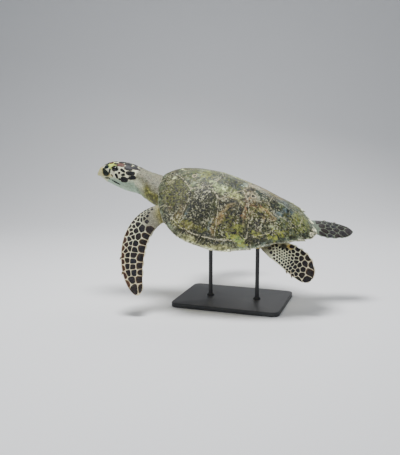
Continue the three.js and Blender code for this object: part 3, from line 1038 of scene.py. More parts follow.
@dataclass(frozen=True)
class Tortoiseshell:
    """A living turtle's horn plates: mottled, streaked from their growth, overgrown, satin."""

    streak: float = 0.16  # a streak's share of the turn round a plate's growth centre
    run: float = 60.0  # mm, a streak's length
    fleck: float = 6.8  # mm between flecks
    piece: float = 10.5  # mm, a flake's size
    stroke: float = 17.0  # mm between winding strokes
    umber: str = "1c1c20"  # dark streaks
    amber: str = "94805a"
    cream: str = "ebe8c4"  # flecks and strokes
    pit: str = "2f2f2e"
    algae: str = "8f9440"
    rim: str = "d8d0ae"

    def make(self) -> Finish:
        """Build the material over the plates' tint, masks, rays and rims.

        Returns:
            The material.
        """
        n = Nodes("Tortoiseshell plate")
        place = n.add("TexCoord", output="Object")
        painted = n.add("Attribute", output="Color", attribute_name="Tint")
        masks = n.add("Attribute", output="Vector", attribute_name="Masks")
        flecked = n.add("SeparateXYZ", {0: masks}, "X")
        rayed = n.add("SeparateXYZ", {0: masks}, "Y")
        mossy = n.add("SeparateXYZ", {0: masks}, "Z")
        ray = n.add("Attribute", output="Vector", attribute_name="Ray")
        rim = n.add("Attribute", output="Fac", attribute_name="Rim")
        # Streaks: noise drawn out along each ray from the growth centre.
        flat = n.add("VectorMath", {0: ray, 1: (1, 1, 0)}, operation="MULTIPLY")
        way = n.add("VectorMath", {0: flat}, operation="NORMALIZE")
        away = n.add("VectorMath", {0: flat}, "Value", operation="LENGTH")
        plate = n.add("SeparateXYZ", {0: ray}, "Z")
        far = n.add("Math", {0: away, 1: 1 / self.run, 2: plate}, operation="MULTIPLY_ADD")
        turned = n.add("VectorMath", {0: way, "Scale": 1 / self.streak}, operation="SCALE")
        drawn = n.add("CombineXYZ", {2: far})
        fanned = n.add("VectorMath", {0: turned, 1: drawn}, operation="ADD")
        warp = n.add("TexNoise", {"Vector": place, "Scale": 1 / (14 * MM), "Detail": 3.0}, "Color")
        bent = n.add(
            "VectorMath", {0: warp, 1: (1.3, 1.3, 1.3), 2: fanned}, operation="MULTIPLY_ADD"
        )
        streaks = n.add("TexNoise", {"Vector": bent, "Scale": 1.0, "Detail": 4.0, "Roughness": 0.6})
        dark = n.add("MapRange", {0: streaks, 1: 0.52, 2: 0.36, 4: 0.85})
        # A mosaic of unlike pieces, as old horn splits and peels.
        drift = n.add("VectorMath", {0: warp, 1: [9 * MM] * 3, 2: place}, operation="MULTIPLY_ADD")
        pieces = n.add("TexVoronoi", {"Vector": drift, "Scale": 1 / (self.piece * MM)}, "Color")
        shade = n.add("MapRange", {0: pieces, 1: 0.25, 2: 0.75, 3: 0.22, 4: 1.9})
        split = n.add("Mix", {0: 1.0, 6: painted, 7: shade}, 2, **DARKENED)
        umber = n.add("Mix", {0: dark, 6: split, 7: linear(self.umber)}, 2, **MIXED)
        amber_at = n.add("MapRange", {0: streaks, 1: 0.53, 2: 0.64})
        amber_by = n.add("Math", {0: amber_at, 1: rayed}, operation="MULTIPLY")
        amber = n.add("Mix", {0: amber_by, 6: umber, 7: linear(self.amber)}, 2, **MIXED)
        # Flecks: small pale chips of cream keratin.
        chips = n.add("TexNoise", {
            "Vector": place, "Scale": 1 / (self.fleck * MM), "Detail": 2.5, "Roughness": 0.6,
        })
        chip_at = n.add("MapRange", {0: chips, 1: 0.56, 2: 0.6})
        # Strokes: thin winding lines of cream, broken into short lengths.
        winding = n.add("TexNoise", {
            "Vector": drift, "Scale": 1 / (self.stroke * MM), "Detail": 1.0,
        })
        off = n.add("Math", {0: winding, 1: 0.5}, operation="SUBTRACT")
        level = n.add("Math", {0: off}, operation="ABSOLUTE")
        line = n.add("MapRange", {0: level, 1: 0.03, 2: 0.014})
        whole = n.add("MapRange", {0: chips, 1: 0.46, 2: 0.52})
        stroke_at = n.add("Math", {0: line, 1: whole}, operation="MULTIPLY")
        marked = n.add("Math", {0: chip_at, 1: stroke_at}, operation="MAXIMUM")
        crowd = n.add("TexNoise", {"Vector": place, "Scale": 1 / (34 * MM), "Detail": 1.0})
        crowded = n.add("MapRange", {0: crowd, 1: 0.42, 2: 0.58, 3: 0.25, 4: 1.0})
        chip_here = n.add("Math", {0: marked, 1: flecked}, operation="MULTIPLY")
        chip_by = n.add("Math", {0: chip_here, 1: crowded}, operation="MULTIPLY")
        chipped = n.add("Mix", {0: chip_by, 6: amber, 7: linear(self.cream)}, 2, **MIXED)
        pits = n.add("MapRange", {0: chips, 1: 0.42, 2: 0.34, 4: 0.7})
        pitted = n.add("Mix", {0: pits, 6: chipped, 7: linear(self.pit)}, 2, **MIXED)
        # Algae: soft yellow-green fuzz where it is painted.
        fuzz = n.add("TexNoise", {
            "Vector": place, "Scale": 1 / (9 * MM), "Detail": 5.0, "Roughness": 0.7,
        })
        fuzz_at = n.add("MapRange", {0: fuzz, 1: 0.44, 2: 0.58})
        fuzz_by = n.add("Math", {0: fuzz_at, 1: mossy}, operation="MULTIPLY")
        grown = n.add("Mix", {0: fuzz_by, 6: pitted, 7: linear(self.algae)}, 2, **MIXED)
        # The plates' thin edges show pale, in broken patches.
        pale_at = n.add("MapRange", {0: rim, 1: 0.95, 2: 0.978, 4: 0.75})
        broken = n.add("MapRange", {0: fuzz, 1: 0.44, 2: 0.56})
        pale_by = n.add("Math", {0: pale_at, 1: broken}, operation="MULTIPLY")
        edged = n.add("Mix", {0: pale_by, 6: grown, 7: linear(self.rim)}, 2, **MIXED)
        # Streaks and chips stand a little proud.
        low = n.add("Bump", {"Height": streaks, "Distance": 1.1 * MM})
        normal = n.add("Bump", {"Height": chips, "Distance": 0.7 * MM, "Normal": low})
        rough = n.add("MapRange", {0: fuzz_by, 3: 0.5, 4: 0.85})
        return n.shader({
            "Base Color": edged, "Roughness": rough, "Normal": normal, "IOR": 1.5,
            "Specular IOR Level": 0.28,
        })


@dataclass(frozen=True)
class Studio:
    """A pale floor, soft lights and a camera that frames the turtle as it was met."""

    azimuth: float = 18.38
    elevation: float = 10.0
    origin_seen: Spot = (139.0, 2453.5, 64.0)  # right, forward, up; mm
    lens: float = 49.85  # mm, on a sensor whose long side is 36 mm
    sensor: float = 36.0
    backdrop: str = "f2f3f5"
    room: str = "dfe6ee"
    room_strength: float = 0.26
    lights: tuple[tuple[str, Spot, float, float], ...] = (  # name, place in metres, side, watts
        ("key", (-0.35, -0.2, 2.8), 0.8, 100),
        ("fill", (-0.6, -2.6, 1.2), 2.0, 17),
        ("back", (0.8, 1.7, 2.2), 1.6, 26),
    )

    def heading(self) -> Matrix:
        """Give the turn about the upright that the camera looks along."""
        return Matrix.Rotation(math.radians(self.azimuth), 3, "Z")

    def axes(self) -> Matrix:
        """Give the camera's right, forward and up directions as columns."""
        return self.heading() @ Matrix.Rotation(-math.radians(self.elevation), 3, "X")

    def camera(self) -> None:
        """Set the camera by where the turtle's own origin lies in its view."""
        axes = self.axes()
        seen = Vector(self.origin_seen)
        data = bpy.data.cameras.new("camera")
        data.sensor_width = self.sensor
        data.lens = self.lens
        data.clip_end = 60
        camera = linked("camera", data)
        place = (Vector(POSE.shift.tolist()) - axes @ seen) * MM
        right, forward, up = axes.col
        turned = Matrix((right, up, -forward)).transposed()
        camera.matrix_world = Matrix.Translation(place) @ turned.to_4x4()
        bpy.context.scene.camera = camera

    def floor(self) -> None:
        """Lay a wide pale floor that curves up far behind."""
        run, back, rise, bend = 7.0, 4.2, 5.0, 2.6
        steps = 24
        angle = np.linspace(0, np.pi / 2, steps)
        away = np.concatenate([[-run], back - bend + bend * np.sin(angle), [back]])
        high = np.concatenate([[0], bend - bend * np.cos(angle), [rise]])
        facing = self.axes().col[1]
        ahead = unit(np.array([facing[0], facing[1], 0]))
        beside = np.array([ahead[1], -ahead[0], 0])
        rows = ahead * away[:, None] + np.array([0, 0, 1]) * high[:, None]
        points = np.concatenate([rows - beside * run, rows + beside * run])
        count = len(rows)
        faces = [[i, i + 1, i + 1 + count, i + count] for i in range(count - 1)]
        mesh = bpy.data.meshes.new("floor")
        mesh.from_pydata(points.tolist(), [], faces)
        mesh.shade_smooth()
        paper = Nodes("Matt backdrop paper")
        mesh.materials.append(paper.shader({"Base Color": linear(self.backdrop), "Roughness": 0.9}))
        linked("floor", mesh)

    def light(self, name: str, place: Spot, size: float, watts: float) -> None:
        """Hang one soft square light, aimed at the turtle.

        Args:
            name: The light's name.
            place: Metres to the camera's right, behind the turtle, and up.
            size: Its side in metres.
            watts: Its power.
        """
        data = bpy.data.lights.new(name, "AREA")
        data.size = size
        data.energy = watts
        lamp = linked(name, data)
        lamp.location = self.heading() @ Vector(place)
        aim = Vector((0, 0, 0.35)) - lamp.location
        lamp.rotation_mode = "QUATERNION"
        lamp.rotation_quaternion = aim.to_track_quat("-Z", "Y")

    def build(self) -> None:
        """Make the camera, the floor and the lights."""
        self.camera()
        self.floor()
        for light in self.lights:
            self.light(*light)
        world = bpy.data.worlds.new("room")
        world.use_nodes = True
        background = world.node_tree.nodes["Background"]
        background.inputs["Color"].default_value = linear(self.room)
        background.inputs["Strength"].default_value = self.room_strength
        bpy.context.scene.world = world


# ---------- flesh ----------

ROOTS = ((-225, -128, -8), (-225, 128, -20), (180, -96, -30), (188, 94, -42))  # the limbs' roots
TAIL_ROOT = (240, 0, -24)


class Part(Enum):
    """The parts of the flesh, as the skin's markings tell them apart."""

    TRUNK = 0
    NECK = 1
    HEAD = 2
    TAIL = 3
    FRONT_LEFT = 4
    FRONT_RIGHT = 5
    HIND_LEFT = 6
    HIND_RIGHT = 7


LIMBS = (Part.FRONT_LEFT, Part.FRONT_RIGHT, Part.HIND_LEFT, Part.HIND_RIGHT)


def section(
    at: Array, side: Array, up: Array, half: Array, high: Array, low: Array, power: float,
    sides: int,
) -> Array:
    """Give rounded sections along a body part.

    Args:
        at: K middles.
        side: Direction of the width, one or K.
        up: Direction of the height, one or K.
        half: K half-widths.
        high: K heights above the middle.
        low: K depths below it.
        power: 2 is an ellipse, more is squarer.
        sides: Points in each section.

    Returns:
        K by sides by 3 points.
    """
    angle = 2 * np.pi * np.arange(sides) / sides
    c, s = np.cos(angle), np.sin(angle)
    across = np.sign(c) * np.abs(c) ** (2 / power) * half[:, None]
    rise = np.sign(s) * np.abs(s) ** (2 / power) * np.where(s > 0, high[:, None], low[:, None])
    wide = np.broadcast_to(side, at.shape)[:, None, :] * across[..., None]
    tall = np.broadcast_to(up, at.shape)[:, None, :] * rise[..., None]
    return at[:, None, :] + wide + tall


@dataclass(frozen=True)
class Lids:
    """The lids round one eye: an almond opening, a thick rim and folds round it."""

    side: int
    half_long: float = 12.0
    half_high: float = 8.8
    tilt: float = 16.0  # degrees, the rear corner up
    rim: float = 1.4
    reach: float = 30.0

    def frame(self) -> tuple[Array, Array]:
        """Give the eye's middle and its axes: toward the beak, up, and outward.

        Returns:
            The middle, and the axes as rows.
        """
        axes = HEAD.axes()
        out = unit(axes @ np.array([0.14, 0.88 * self.side, 0.44]))
        ahead = unit(axes[:, 0] - out * (axes[:, 0] @ out))
        up = np.cross(out, ahead) * self.side
        c, s = math.cos(math.radians(self.tilt)), math.sin(math.radians(self.tilt))
        turned = np.stack([ahead * c - up * s, up * c + ahead * s, out])
        return HEAD.point(EYE.place(self.side)), turned

    def almond(self, x: Array, y: Array) -> Array:
        """Give how far out of the opening a place is: 1 on its edge."""
        pinch = 1 - 0.3 * np.clip(np.abs(x) / self.half_long, 0, 1) ** 2
        return np.hypot(x / self.half_long, y / (self.half_high * pinch))

    def shape(self, skin: Piece) -> None:
        """Refine the skin round the eye and press the opening, the rim and the folds into it.

        Args:
            skin: The skin's object.
        """
        middle, axes = self.frame()
        made = bmesh.new()
        made.from_mesh(skin.data)
        for cut_reach in (self.reach, 0.62 * self.reach):
            made.verts.ensure_lookup_table()
            local = (POSE.body(np.array([v.co for v in made.verts])) - middle) @ axes.T
            near = (np.hypot(local[:, 0], local[:, 1]) < cut_reach) & (local[:, 2] > 0)
            picked = [e for e in made.edges if near[e.verts[0].index] and near[e.verts[1].index]]
            bmesh.ops.subdivide_edges(made, edges=picked, cuts=1, smooth=0.0)
        bmesh.ops.triangulate(made, faces=[f for f in made.faces if len(f.verts) > 3])
        made.to_mesh(skin.data)
        made.free()
        points = POSE.body(points_of(skin.data))
        local = (points - middle) @ axes.T
        x, y, z = local.T
        r = np.hypot(x, y)
        out = self.almond(x, y)
        ball = np.sqrt(np.clip(EYE.radius**2 - r**2, 0, None))
        lid = np.sqrt(np.clip((EYE.radius + self.rim) ** 2 - np.minimum(r, 12.0) ** 2, 0, None))
        under = 0.75 + 0.45 * smooth(4, -6, y)
        folds = sum(
            np.exp(-(((out - at) / 0.1) ** 2)) * deep for at, deep in ((1.42, 1.0), (1.85, 0.8))
        )
        over = z + (np.minimum(lid, z + 2.2) - z) * smooth(2.1, 1.15, out) - 0.9 * folds * under
        inner = np.minimum(ball - 1.6, z)
        edge = smooth(0.99, 1.1, out)
        new = np.where(out < 0.99, inner, inner + (over - inner) * edge)
        here = (z > 0) & (r < self.reach)
        points[here] += ((new - z)[:, None] * axes[2])[here]
        move_points(skin.data, POSE.world(points))
        skin.data.shade_smooth()


@dataclass
class Flesh:
    """The whole skin: every part of the flesh as one closed surface, with folds and lids."""

    voxel: float = 1.6
    triangles: int = 190000
    neck_rear: float = -240.0
    trunk_front: float = -262.0
    trunk_rear: float = 262.0
    trunk_level: float = -12.0
    swelling: float = 2.3  # mm, at the trailing edges' scales
    neck_fold: float = 1.3  # how deep the folds are pressed, mm
    limb_fold: float = 1.0
    sides: int = 96  # points in a section of the body
    limb_sides: int = 64
    even_rounds: int = 6  # of smoothing that keeps the size
    joint_rounds: int = 160  # of smoothing where the parts join
    chart: KDTree | None = None
    parts: Array | None = None
    along: Array | None = None
    angle: Array | None = None

    def trunk(self) -> Array:
        """Make the sections of the trunk, which fills the shell.

        Returns:
            K sections, each a ring of points.
        """
        share = curve([0, 0.08, 0.2, 0.6, 0.8, 0.92, 1], [0.5, 0.64, 0.8, 0.8, 0.68, 0.52, 0.36])
        t = np.linspace(0, 1, 60)
        x = self.trunk_front + (self.trunk_rear - self.trunk_front) * t
        level = self.trunk_level
        at = np.stack([x, np.zeros_like(x), np.full_like(x, level)], axis=1)
        across = SHELL.half(x) * share(t) - COAT_DEPTH
        plates_above = 3 + SHELL.thickness
        high = SHELL.top(x, 0 * x) - level - plates_above
        low = -(PLASTRON.under(x, 0 * x) - level) - PLASTRON.thickness
        side, up = np.array([0, 1, 0]), np.array([0, 0, 1])
        return section(at, side, up, across, high, low, 2.8, self.sides)

    def head(self) -> Array:
        """Make the sections of the head, down to the beak's core.

        Returns:
            K sections, each a ring of points.
        """
        t = np.concatenate([np.linspace(-0.06, 0.9, 70), np.linspace(0.905, 0.985, 16)])
        inset = COAT_DEPTH / HEAD.length
        half = np.maximum(HEAD.half(t) - inset, 0.004)
        top, bottom = HEAD.top(t) - inset, HEAD.bottom(t) - inset
        axes = HEAD.axes()
        middle = (top - bottom) / 2
        at = HEAD.point(np.stack([t, 0 * t, middle], axis=1))
        rise = (top + bottom) / 2 * HEAD.length
        half = half * HEAD.length
        return section(at, -axes[:, 1], axes[:, 2], half, rise, rise, HEAD.power, self.sides)

    def neck_line(self) -> tuple[Array, Array]:
        """Give where the neck starts in the trunk, and the way from there into the head."""
        start = np.array([self.neck_rear, 0, -14.0])
        return start, HEAD.point([0.1, 0, -0.055]) - start

    def neck(self) -> Array:
        """Make the sections of the neck, turning from the body's level to the head's.

        Returns:
            K sections, each a ring of points.
        """
        t = np.linspace(0, 1, 60)
        start, run = self.neck_line()
        at = start + run * t[:, None]
        at[:, 2] -= 11 * np.sin(np.pi * t)
        axes = HEAD.axes()
        side = unit(np.array([0, 1, 0]) * (1 - t[:, None]) - axes[:, 1] * t[:, None])
        up = unit(np.array([0, 0, 1]) * (1 - t[:, None]) + axes[:, 2] * t[:, None])
        half = curve([0, 0.35, 0.7, 1], [112, 88, 64, 46])(t) - COAT_DEPTH
        rise = curve([0, 0.35, 0.7, 1], [56, 57, 56, 48])(t) - COAT_DEPTH
        return section(at, side, up, half, rise, rise, 2.1, self.sides)

    def tail(self) -> Array:
        """Make the sections of the short tail.

        Returns:
            K sections, each a ring of points.
        """
        t = np.linspace(0, 1, 24)[:, None]
        a, b, c = (np.array(p, float) for p in ((220, 0, -22), (262, 0, -18), (302, 0, -8)))
        at = (1 - t) ** 2 * a + 2 * (1 - t) * t * b + t * t * c
        along = unit(2 * (1 - t) * (b - a) + 2 * t * (c - b))
        side = np.array([0, 1, 0])
        up = unit(np.cross(along, side))
        radius = curve([0, 0.5, 0.85, 1], [28, 18, 9, 3])(t[:, 0]) - 0.8 * COAT_DEPTH
        return section(at, side, up, radius * 1.15, radius, radius, 2.0, 40)

    def limb(self, flipper: Flipper) -> Array:
        """Make the sections of one flipper.

        Args:
            flipper: Which one.

        Returns:
            K sections, each a ring of points.
        """
        share = np.concatenate([np.linspace(0, 0.94, 100), np.linspace(0.945, 1, 16)])
        angle = 2 * np.pi * np.arange(self.limb_sides) / self.limb_sides
        return flipper.surface(share[:, None], angle[None, :], COAT_DEPTH)

    def build(self) -> Piece:
        """Join the parts, smooth their joints, and shape the folds and the lids.

        Returns:
            The skin, not yet painted.
        """
        body = (self.trunk(), self.neck(), self.head(), self.tail())
        rings = dict(zip(Part, (*body, *(self.limb(flipper) for flipper in FLIPPERS))))
        skin = mesh_object("skin", joined(loft(r) for r in rings.values()))
        self.index(rings)
        with_modifier(skin, "REMESH", mode="VOXEL", voxel_size=self.voxel * MM)
        points = POSE.body(points_of(skin.data))
        edges = read(skin.data.edges, "vertices", 2, np.int32)
        points = relax(points, edges, np.ones(len(points)), self.even_rounds, keep=True)
        points = relax(points, edges, self.joint_weight(points), self.joint_rounds)
        points = self.scalloped(self.folded(self.tucked(points), edges))
        move_points(skin.data, POSE.world(points))
        faces = len(skin.data.polygons) * 2
        with_modifier(skin, "DECIMATE", ratio=min(1, self.triangles / faces))
        for side in (1, -1):
            Lids(side).shape(skin)
        return skin

    def scalloped(self, points: Array) -> Array:
        """Swell the flippers' trailing edges behind each of their large scales.

        Args:
            points: The skin's points.

        Returns:
            The points, swollen.
        """
        parts, along, angle = self.find(points)
        moved = points.copy()
        for part, flipper in zip(LIMBS, FLIPPERS):
            spans = np.array((FRONT_ROWS if flipper.blade is FRONT_BLADE else HIND_ROWS)[0].spans)
            here = np.flatnonzero((parts == part.value) & (np.cos(angle) < -0.6))
            t = along[here]
            phase = np.interp(t, spans, np.arange(len(spans)))
            swell = np.cos(2 * np.pi * phase) * smooth(spans[0] - 0.05, spans[0], t)
            swell *= smooth(0.97, 0.9, t)
            weight = smooth(-0.72, -0.97, np.cos(angle[here]))
            _, _, chord, _ = flipper.frame(t)
            moved[here] -= chord * (self.swelling * (swell + 0.3) * weight)[:, None]
        return moved

    def tucked(self, points: Array) -> Array:
        """Keep the flesh between the shell's two plates.

        Args:
            points: The skin's points.

        Returns:
            The points, none of them past the plates.
        """
        x, y, z = points.T
        out = SHELL.radial(x, y)
        over = SHELL.top(x, y) - SHELL.depth(out) - 0.6
        z = np.where(out < 1.02, np.minimum(z, over), z)
        half = PLASTRON.half(np.clip(x, PLASTRON.front, PLASTRON.rear))
        low = PLASTRON.under(x, np.clip(y, -half, half)) + PLASTRON.thickness + 0.5
        return np.stack([x, y, np.where(PLASTRON.covers(x, y), np.maximum(z, low), z)], axis=1)

    def folded(self, points: Array, edges: Array) -> Array:
        """Press loose folds into the neck and the roots of the limbs.

        Args:
            points: The skin's points.
            edges: Their neighbours, for smoothing what the folds disturb.

        Returns:
            The folded points.
        """
        start, run = self.neck_line()
        share = (points - start) @ run / (run @ run)
        on_neck = smooth(0.02, 0.2, share) * smooth(1.0, 0.8, share)
        wave = np.sin(2 * np.pi * (share * 7.5 + 0.8 * noise(points, 60)))
        axis = start + np.clip(share, 0, 1)[:, None] * run
        outward = unit(points - axis)
        lower = 0.45 + 0.55 * smooth(0.3, -0.4, outward[:, 2])
        near = np.linalg.norm(points - axis, axis=1) < 125
        press = self.neck_fold * on_neck * lower * near * np.clip(-wave - 0.1, 0, 1)
        for root in ROOTS:
            away = np.linalg.norm(points - np.array(root), axis=1)
            ripple = np.sin(2 * np.pi * (away / 13 + 0.5 * noise(points, 45, 3)))
            fold = self.limb_fold * smooth(95, 60, away) * smooth(20, 45, away)
            press += fold * np.clip(-ripple, 0, 1)
        return relax(points - outward * press[:, None], edges, np.clip(press, 0, 1), 2)

    def joint_weight(self, points: Array) -> Array:
        """Say how strongly each point is smoothed, most where the parts join.

        Args:
            points: The skin's points.

        Returns:
            Weights, 0 to 1.
        """
        weight = np.zeros(len(points))
        for centre, reach in zip((*ROOTS, TAIL_ROOT), (52, 52, 48, 48, 40)):
            away = np.linalg.norm(points - np.array(centre), axis=1)
            weight = np.maximum(weight, smooth(reach, 0.55 * reach, away))
        local = HEAD.local(points)
        nape = smooth(0.3, 0.12, local[:, 0]) * smooth(-0.55, -0.2, local[:, 0])
        nape *= np.abs(local[:, 1]) < 0.6
        root = smooth(70, 20, np.abs(points[:, 0] + 262)) * (np.abs(points[:, 1]) < 150)
        return np.clip(np.maximum.reduce([weight, nape, root]), 0, 1)

    def index(self, rings: dict[Part, Array]) -> None:
        """Remember which part, how far along it and how far round each place of the flesh is.

        Args:
            rings: Each part's sections.
        """
        places = np.concatenate([ring.reshape(-1, 3) for ring in rings.values()])
        self.chart = KDTree(len(places))
        for order, place in enumerate(places.tolist()):
            self.chart.insert(place, order)
        self.chart.balance()
        found = []
        for part, ring in rings.items():
            steps, sides = ring.shape[:2]
            share = np.repeat(np.linspace(0, 1, steps), sides)
            turned = np.tile(2 * np.pi * np.arange(sides) / sides, steps)
            found.append((np.full(steps * sides, part.value), share, turned))
        self.parts, self.along, self.angle = (np.concatenate(a) for a in zip(*found))

    def find(self, points: Array) -> tuple[Array, Array, Array]:
        """Give the part, the share along it and the turn round it nearest to each point."""
        near = np.array([self.chart.find(p)[1] for p in points.tolist()])
        return self.parts[near], self.along[near], self.angle[near]


@dataclass(frozen=True)
class Markings:
    """The skin's colours by part, shared by the skin and by every small scale on it."""

    cream: str = "eff0d6"
    peach: str = "f2e2c2"
    crown: str = "d3d6bc"
    lid: str = "e2f08c"
    throat: str = "b0c3af"
    nape: str = "a09f8a"
    nape_speck: str = "484940"
    neck_side: str = "bdbd78"
    neck_dim: str = "807f56"
    neck_under: str = "b6be8e"
    arm: str = "aaa896"
    shoulder: str = "bbb67c"
    hind_root: str = "7f7a60"
    hind_mid: str = "eeefd4"
    hind_tip: str = "eee6cc"
    # Painted shade: the far hind flipper's shaded teal-grey.
    far_hind_shade: str = "55665c"
    belly: str = "d9cf9f"
    # Painted highlight along the far hind flipper's leading edge.
    white: str = "e6e6dc"
    # Round each eye: painted shade below and behind the lid, and a dark lid rim that is partly the
    # lid's own skin and partly painted shadow round the opening.
    socket: str = "6f7d74"
    lid_rim_dark_and_shadow: str = "14171a"
    rust: str = "a98558"
    fold: str = "d6b766"
    blot: str = "1f1b18"
    film: tuple[float, float] = (1.15, 1.12)  # how wet the skin looks: depth and chroma

    def paint(self, points: Array, parts: Array, along: Array, angle: Array) -> Array:
        """Colour places of the skin.

        Args:
            points: N by 3 places in the turtle's frame.
            parts: Each one's part of the flesh.
            along: The share along that part.
            angle: The turn round that part's section.

        Returns:
            N by 3 linear colours.
        """
        colour = np.empty((len(points), 3))
        for part in Part:
            here = parts == part.value
            colour[here] = self.part_colour(part, points[here], along[here], angle[here])
        vary = 1 + 0.1 * noise(points, 26, 5) + 0.06 * noise(points, 9, 6)
        return wet(colour * vary[:, None], *self.film)

    def part_colour(self, part: Part, points: Array, along: Array, angle: Array) -> Array:
        """Colour places of one part.

        Args:
            part: The part.
            points: N by 3 places in the turtle's frame.
            along: Each one's share along its part.
            angle: Each one's turn round its part's section.

        Returns:
            N by 3 linear colours.
        """
        if part is Part.HEAD:
            return self.head(points)
        if part in (Part.NECK, Part.TRUNK, Part.TAIL):
            return self.neck(points)
        if part in (Part.FRONT_LEFT, Part.FRONT_RIGHT):
            return self.arm_colour(points, along, angle)
        return self.hind_colour(points, along, angle, part is Part.HIND_RIGHT)

    def neck(self, points: Array) -> Array:
        """Colour the neck and the trunk: grey and specked above, yellow low on the sides.

        Args:
            points: N by 3 places in the turtle's frame.

        Returns:
            N by 3 linear colours.
        """
        level = points[:, 2] + 14
        x = points[:, 0]
        axis = np.interp(x, [-417, -240], [22, 0])
        high = (level - axis) / 52
        speck = smooth(0.2, 0.55, noise(points, 4.6, 11))
        nape = washed(tint(self.nape), (self.nape_speck, 0.7 * speck))
        dim = smooth(-0.3, 0.5, noise(points, 9, 12))
        side = washed(tint(self.neck_dim), (self.neck_side, dim))
        pale = washed(tint(self.cream), (self.neck_side, smooth(-375, -335, x)))
        side = blend(side, pale, smooth(-355, -395, x))
        top = smooth(0.24, 0.56, high + 0.2 * noise(points, 30, 13) - 0.12 * smooth(-345, -400, x))
        colour = blend(side, nape, top)
        under = washed(
            tint(self.belly),
            (self.neck_under, smooth(-250, -330, x)),
            (self.throat, smooth(-368, -408, x)),
        )
        ahead = smooth(-330, -400, x)
        low = smooth(0.0, 0.4, 0.55 * ahead - 0.45 - high + 0.12 * noise(points, 18, 14))
        return blend(colour, under, low)

    def head(self, points: Array) -> Array:
        """Colour the head between its scales: cream, a yellow lid, a pale green-grey throat.

        Args:
            points: N by 3 places in the turtle's frame.

        Returns:
            N by 3 linear colours.
        """
        a, side, up = HEAD.local(points).T
        eye = np.hypot((a - 0.655) / 0.12, (up - 0.175) / 0.08)
        colour = washed(
            tint(self.cream),
            (self.crown, smooth(0.16, 0.24, up)),
            (self.throat, smooth(-0.05, -0.16, up + 0.03 * noise(points, 20, 21))),
            (self.lid, smooth(1.25, 0.7, eye) * (np.abs(side) > 0.08)),
        )
        for hand in (1, -1):
            middle, axes = Lids(hand).frame()
            x, y, z = ((points - middle) @ axes.T).T
            out = np.where(z > 0, Lids(hand).almond(x, y), 9)
            # Painted shade below and behind the eye, then a dark ring on the lid rim: partly its
            # own dark skin, partly painted shadow round the opening.
            socket = 0.6 * smooth(2.0, 1.7, out) * smooth(6, -4, x + 1.5 * y)
            lid_rim_dark_and_shadow = 0.95 * smooth(1.48, 1.3, out)
            colour = washed(colour, (self.socket, socket), (self.lid_rim_dark_and_shadow, lid_rim_dark_and_shadow))
        rear = smooth(0.08, -0.02, a + 0.02 * noise(points, 16, 22))
        return blend(colour, self.neck(points), rear)

    def arm_colour(self, points: Array, along: Array, angle: Array) -> Array:
        """Colour a front flipper: yellow at the shoulder, grey on the arm, cream on the blade.

        Args:
            points: N by 3 places in the turtle's frame.
            along: Each one's share along its part.
            angle: Each one's turn round its part's section.

        Returns:
            N by 3 linear colours.
        """
        lead = np.cos(angle)
        wander = along + 0.03 * noise(points, 25, 31)
        colour = washed(tint(self.cream), (self.peach, smooth(0.3, 0.7, wander) * 0.6))
        colour = blend(tint(self.arm), colour, smooth(0.22, 0.36, wander + 0.1 * lead))
        colour = blend(tint(self.shoulder), colour, smooth(0.1, 0.22, wander))
        rusty = smooth(0.55, 0.95, lead) * smooth(0.42, 0.6, along)
        rusty *= smooth(-0.3, 0.5, noise(points, 30, 33))
        return washed(colour, (self.rust, 0.6 * rusty))

    def hind_colour(self, points: Array, along: Array, angle: Array, far: bool) -> Array:
        """Colour a hind flipper: brown at the root, then yellow-cream, then peach.

        Args:
            points: N by 3 places in the turtle's frame.
            along: Each one's share along its part.
            angle: Each one's turn round its part's section.
            far: Whether it is the far one, which is dark at its root, and painted darker all over
                as painted shade, with a painted highlight along its leading edge.

        Returns:
            N by 3 linear colours.
        """
        wander = along + 0.04 * noise(points, 25, 41)
        c = np.cos(angle)
        colour = washed(tint(self.hind_mid), (self.hind_tip, smooth(0.45, 0.7, wander)))
        colour = blend(tint(self.hind_root), colour, smooth(0.1, 0.3, wander + 0.08 * c))
        if far:
            # The far hind flipper is painted mostly in its shaded teal-grey, as painted shade.
            colour = blend(tint(self.far_hind_shade), colour, 0.12)
            # A painted highlight runs along its leading edge.
            return washed(colour, (self.white, 0.7 * smooth(0.86, 0.98, c)))
        fold = smooth(1.2, 0.7, np.hypot((along - 0.35) / 0.05, (c + 0.66) / 0.24))
        blot = smooth(1.2, 0.7, np.hypot((along - 0.27) / 0.05, (c + 0.4) / 0.35))
        return washed(colour, (self.fold, 0.8 * fold), (self.blot, 0.9 * blot))


class SkinSurface:
    """The finished skin as something that scales can be laid on, in the turtle's frame."""

    def __init__(self, skin: Piece) -> None:
        """Index the skin's faces.

        Args:
            skin: The object, a mesh in the row's frame.
        """
        mesh = skin.data
        mesh.calc_loop_triangles()
        triangles = read(mesh.loop_triangles, "vertices", 3, np.int32)
        self.tree = BVHTree.FromPolygons(POSE.body(points_of(mesh)).tolist(), triangles.tolist())

    def nearest(self, points: Array) -> Array:
        """Give the skin's nearest place to each point."""
        return np.array([self.tree.find_nearest(p)[0] for p in points.tolist()])

    def hit(self, start: Array, direction: Array) -> tuple[Array, Array]:
        """Give where a ray meets the skin, and the skin's direction there."""
        place, normal, _, _ = self.tree.ray_cast(start.tolist(), direction.tolist())
        return np.array(place), np.array(normal)


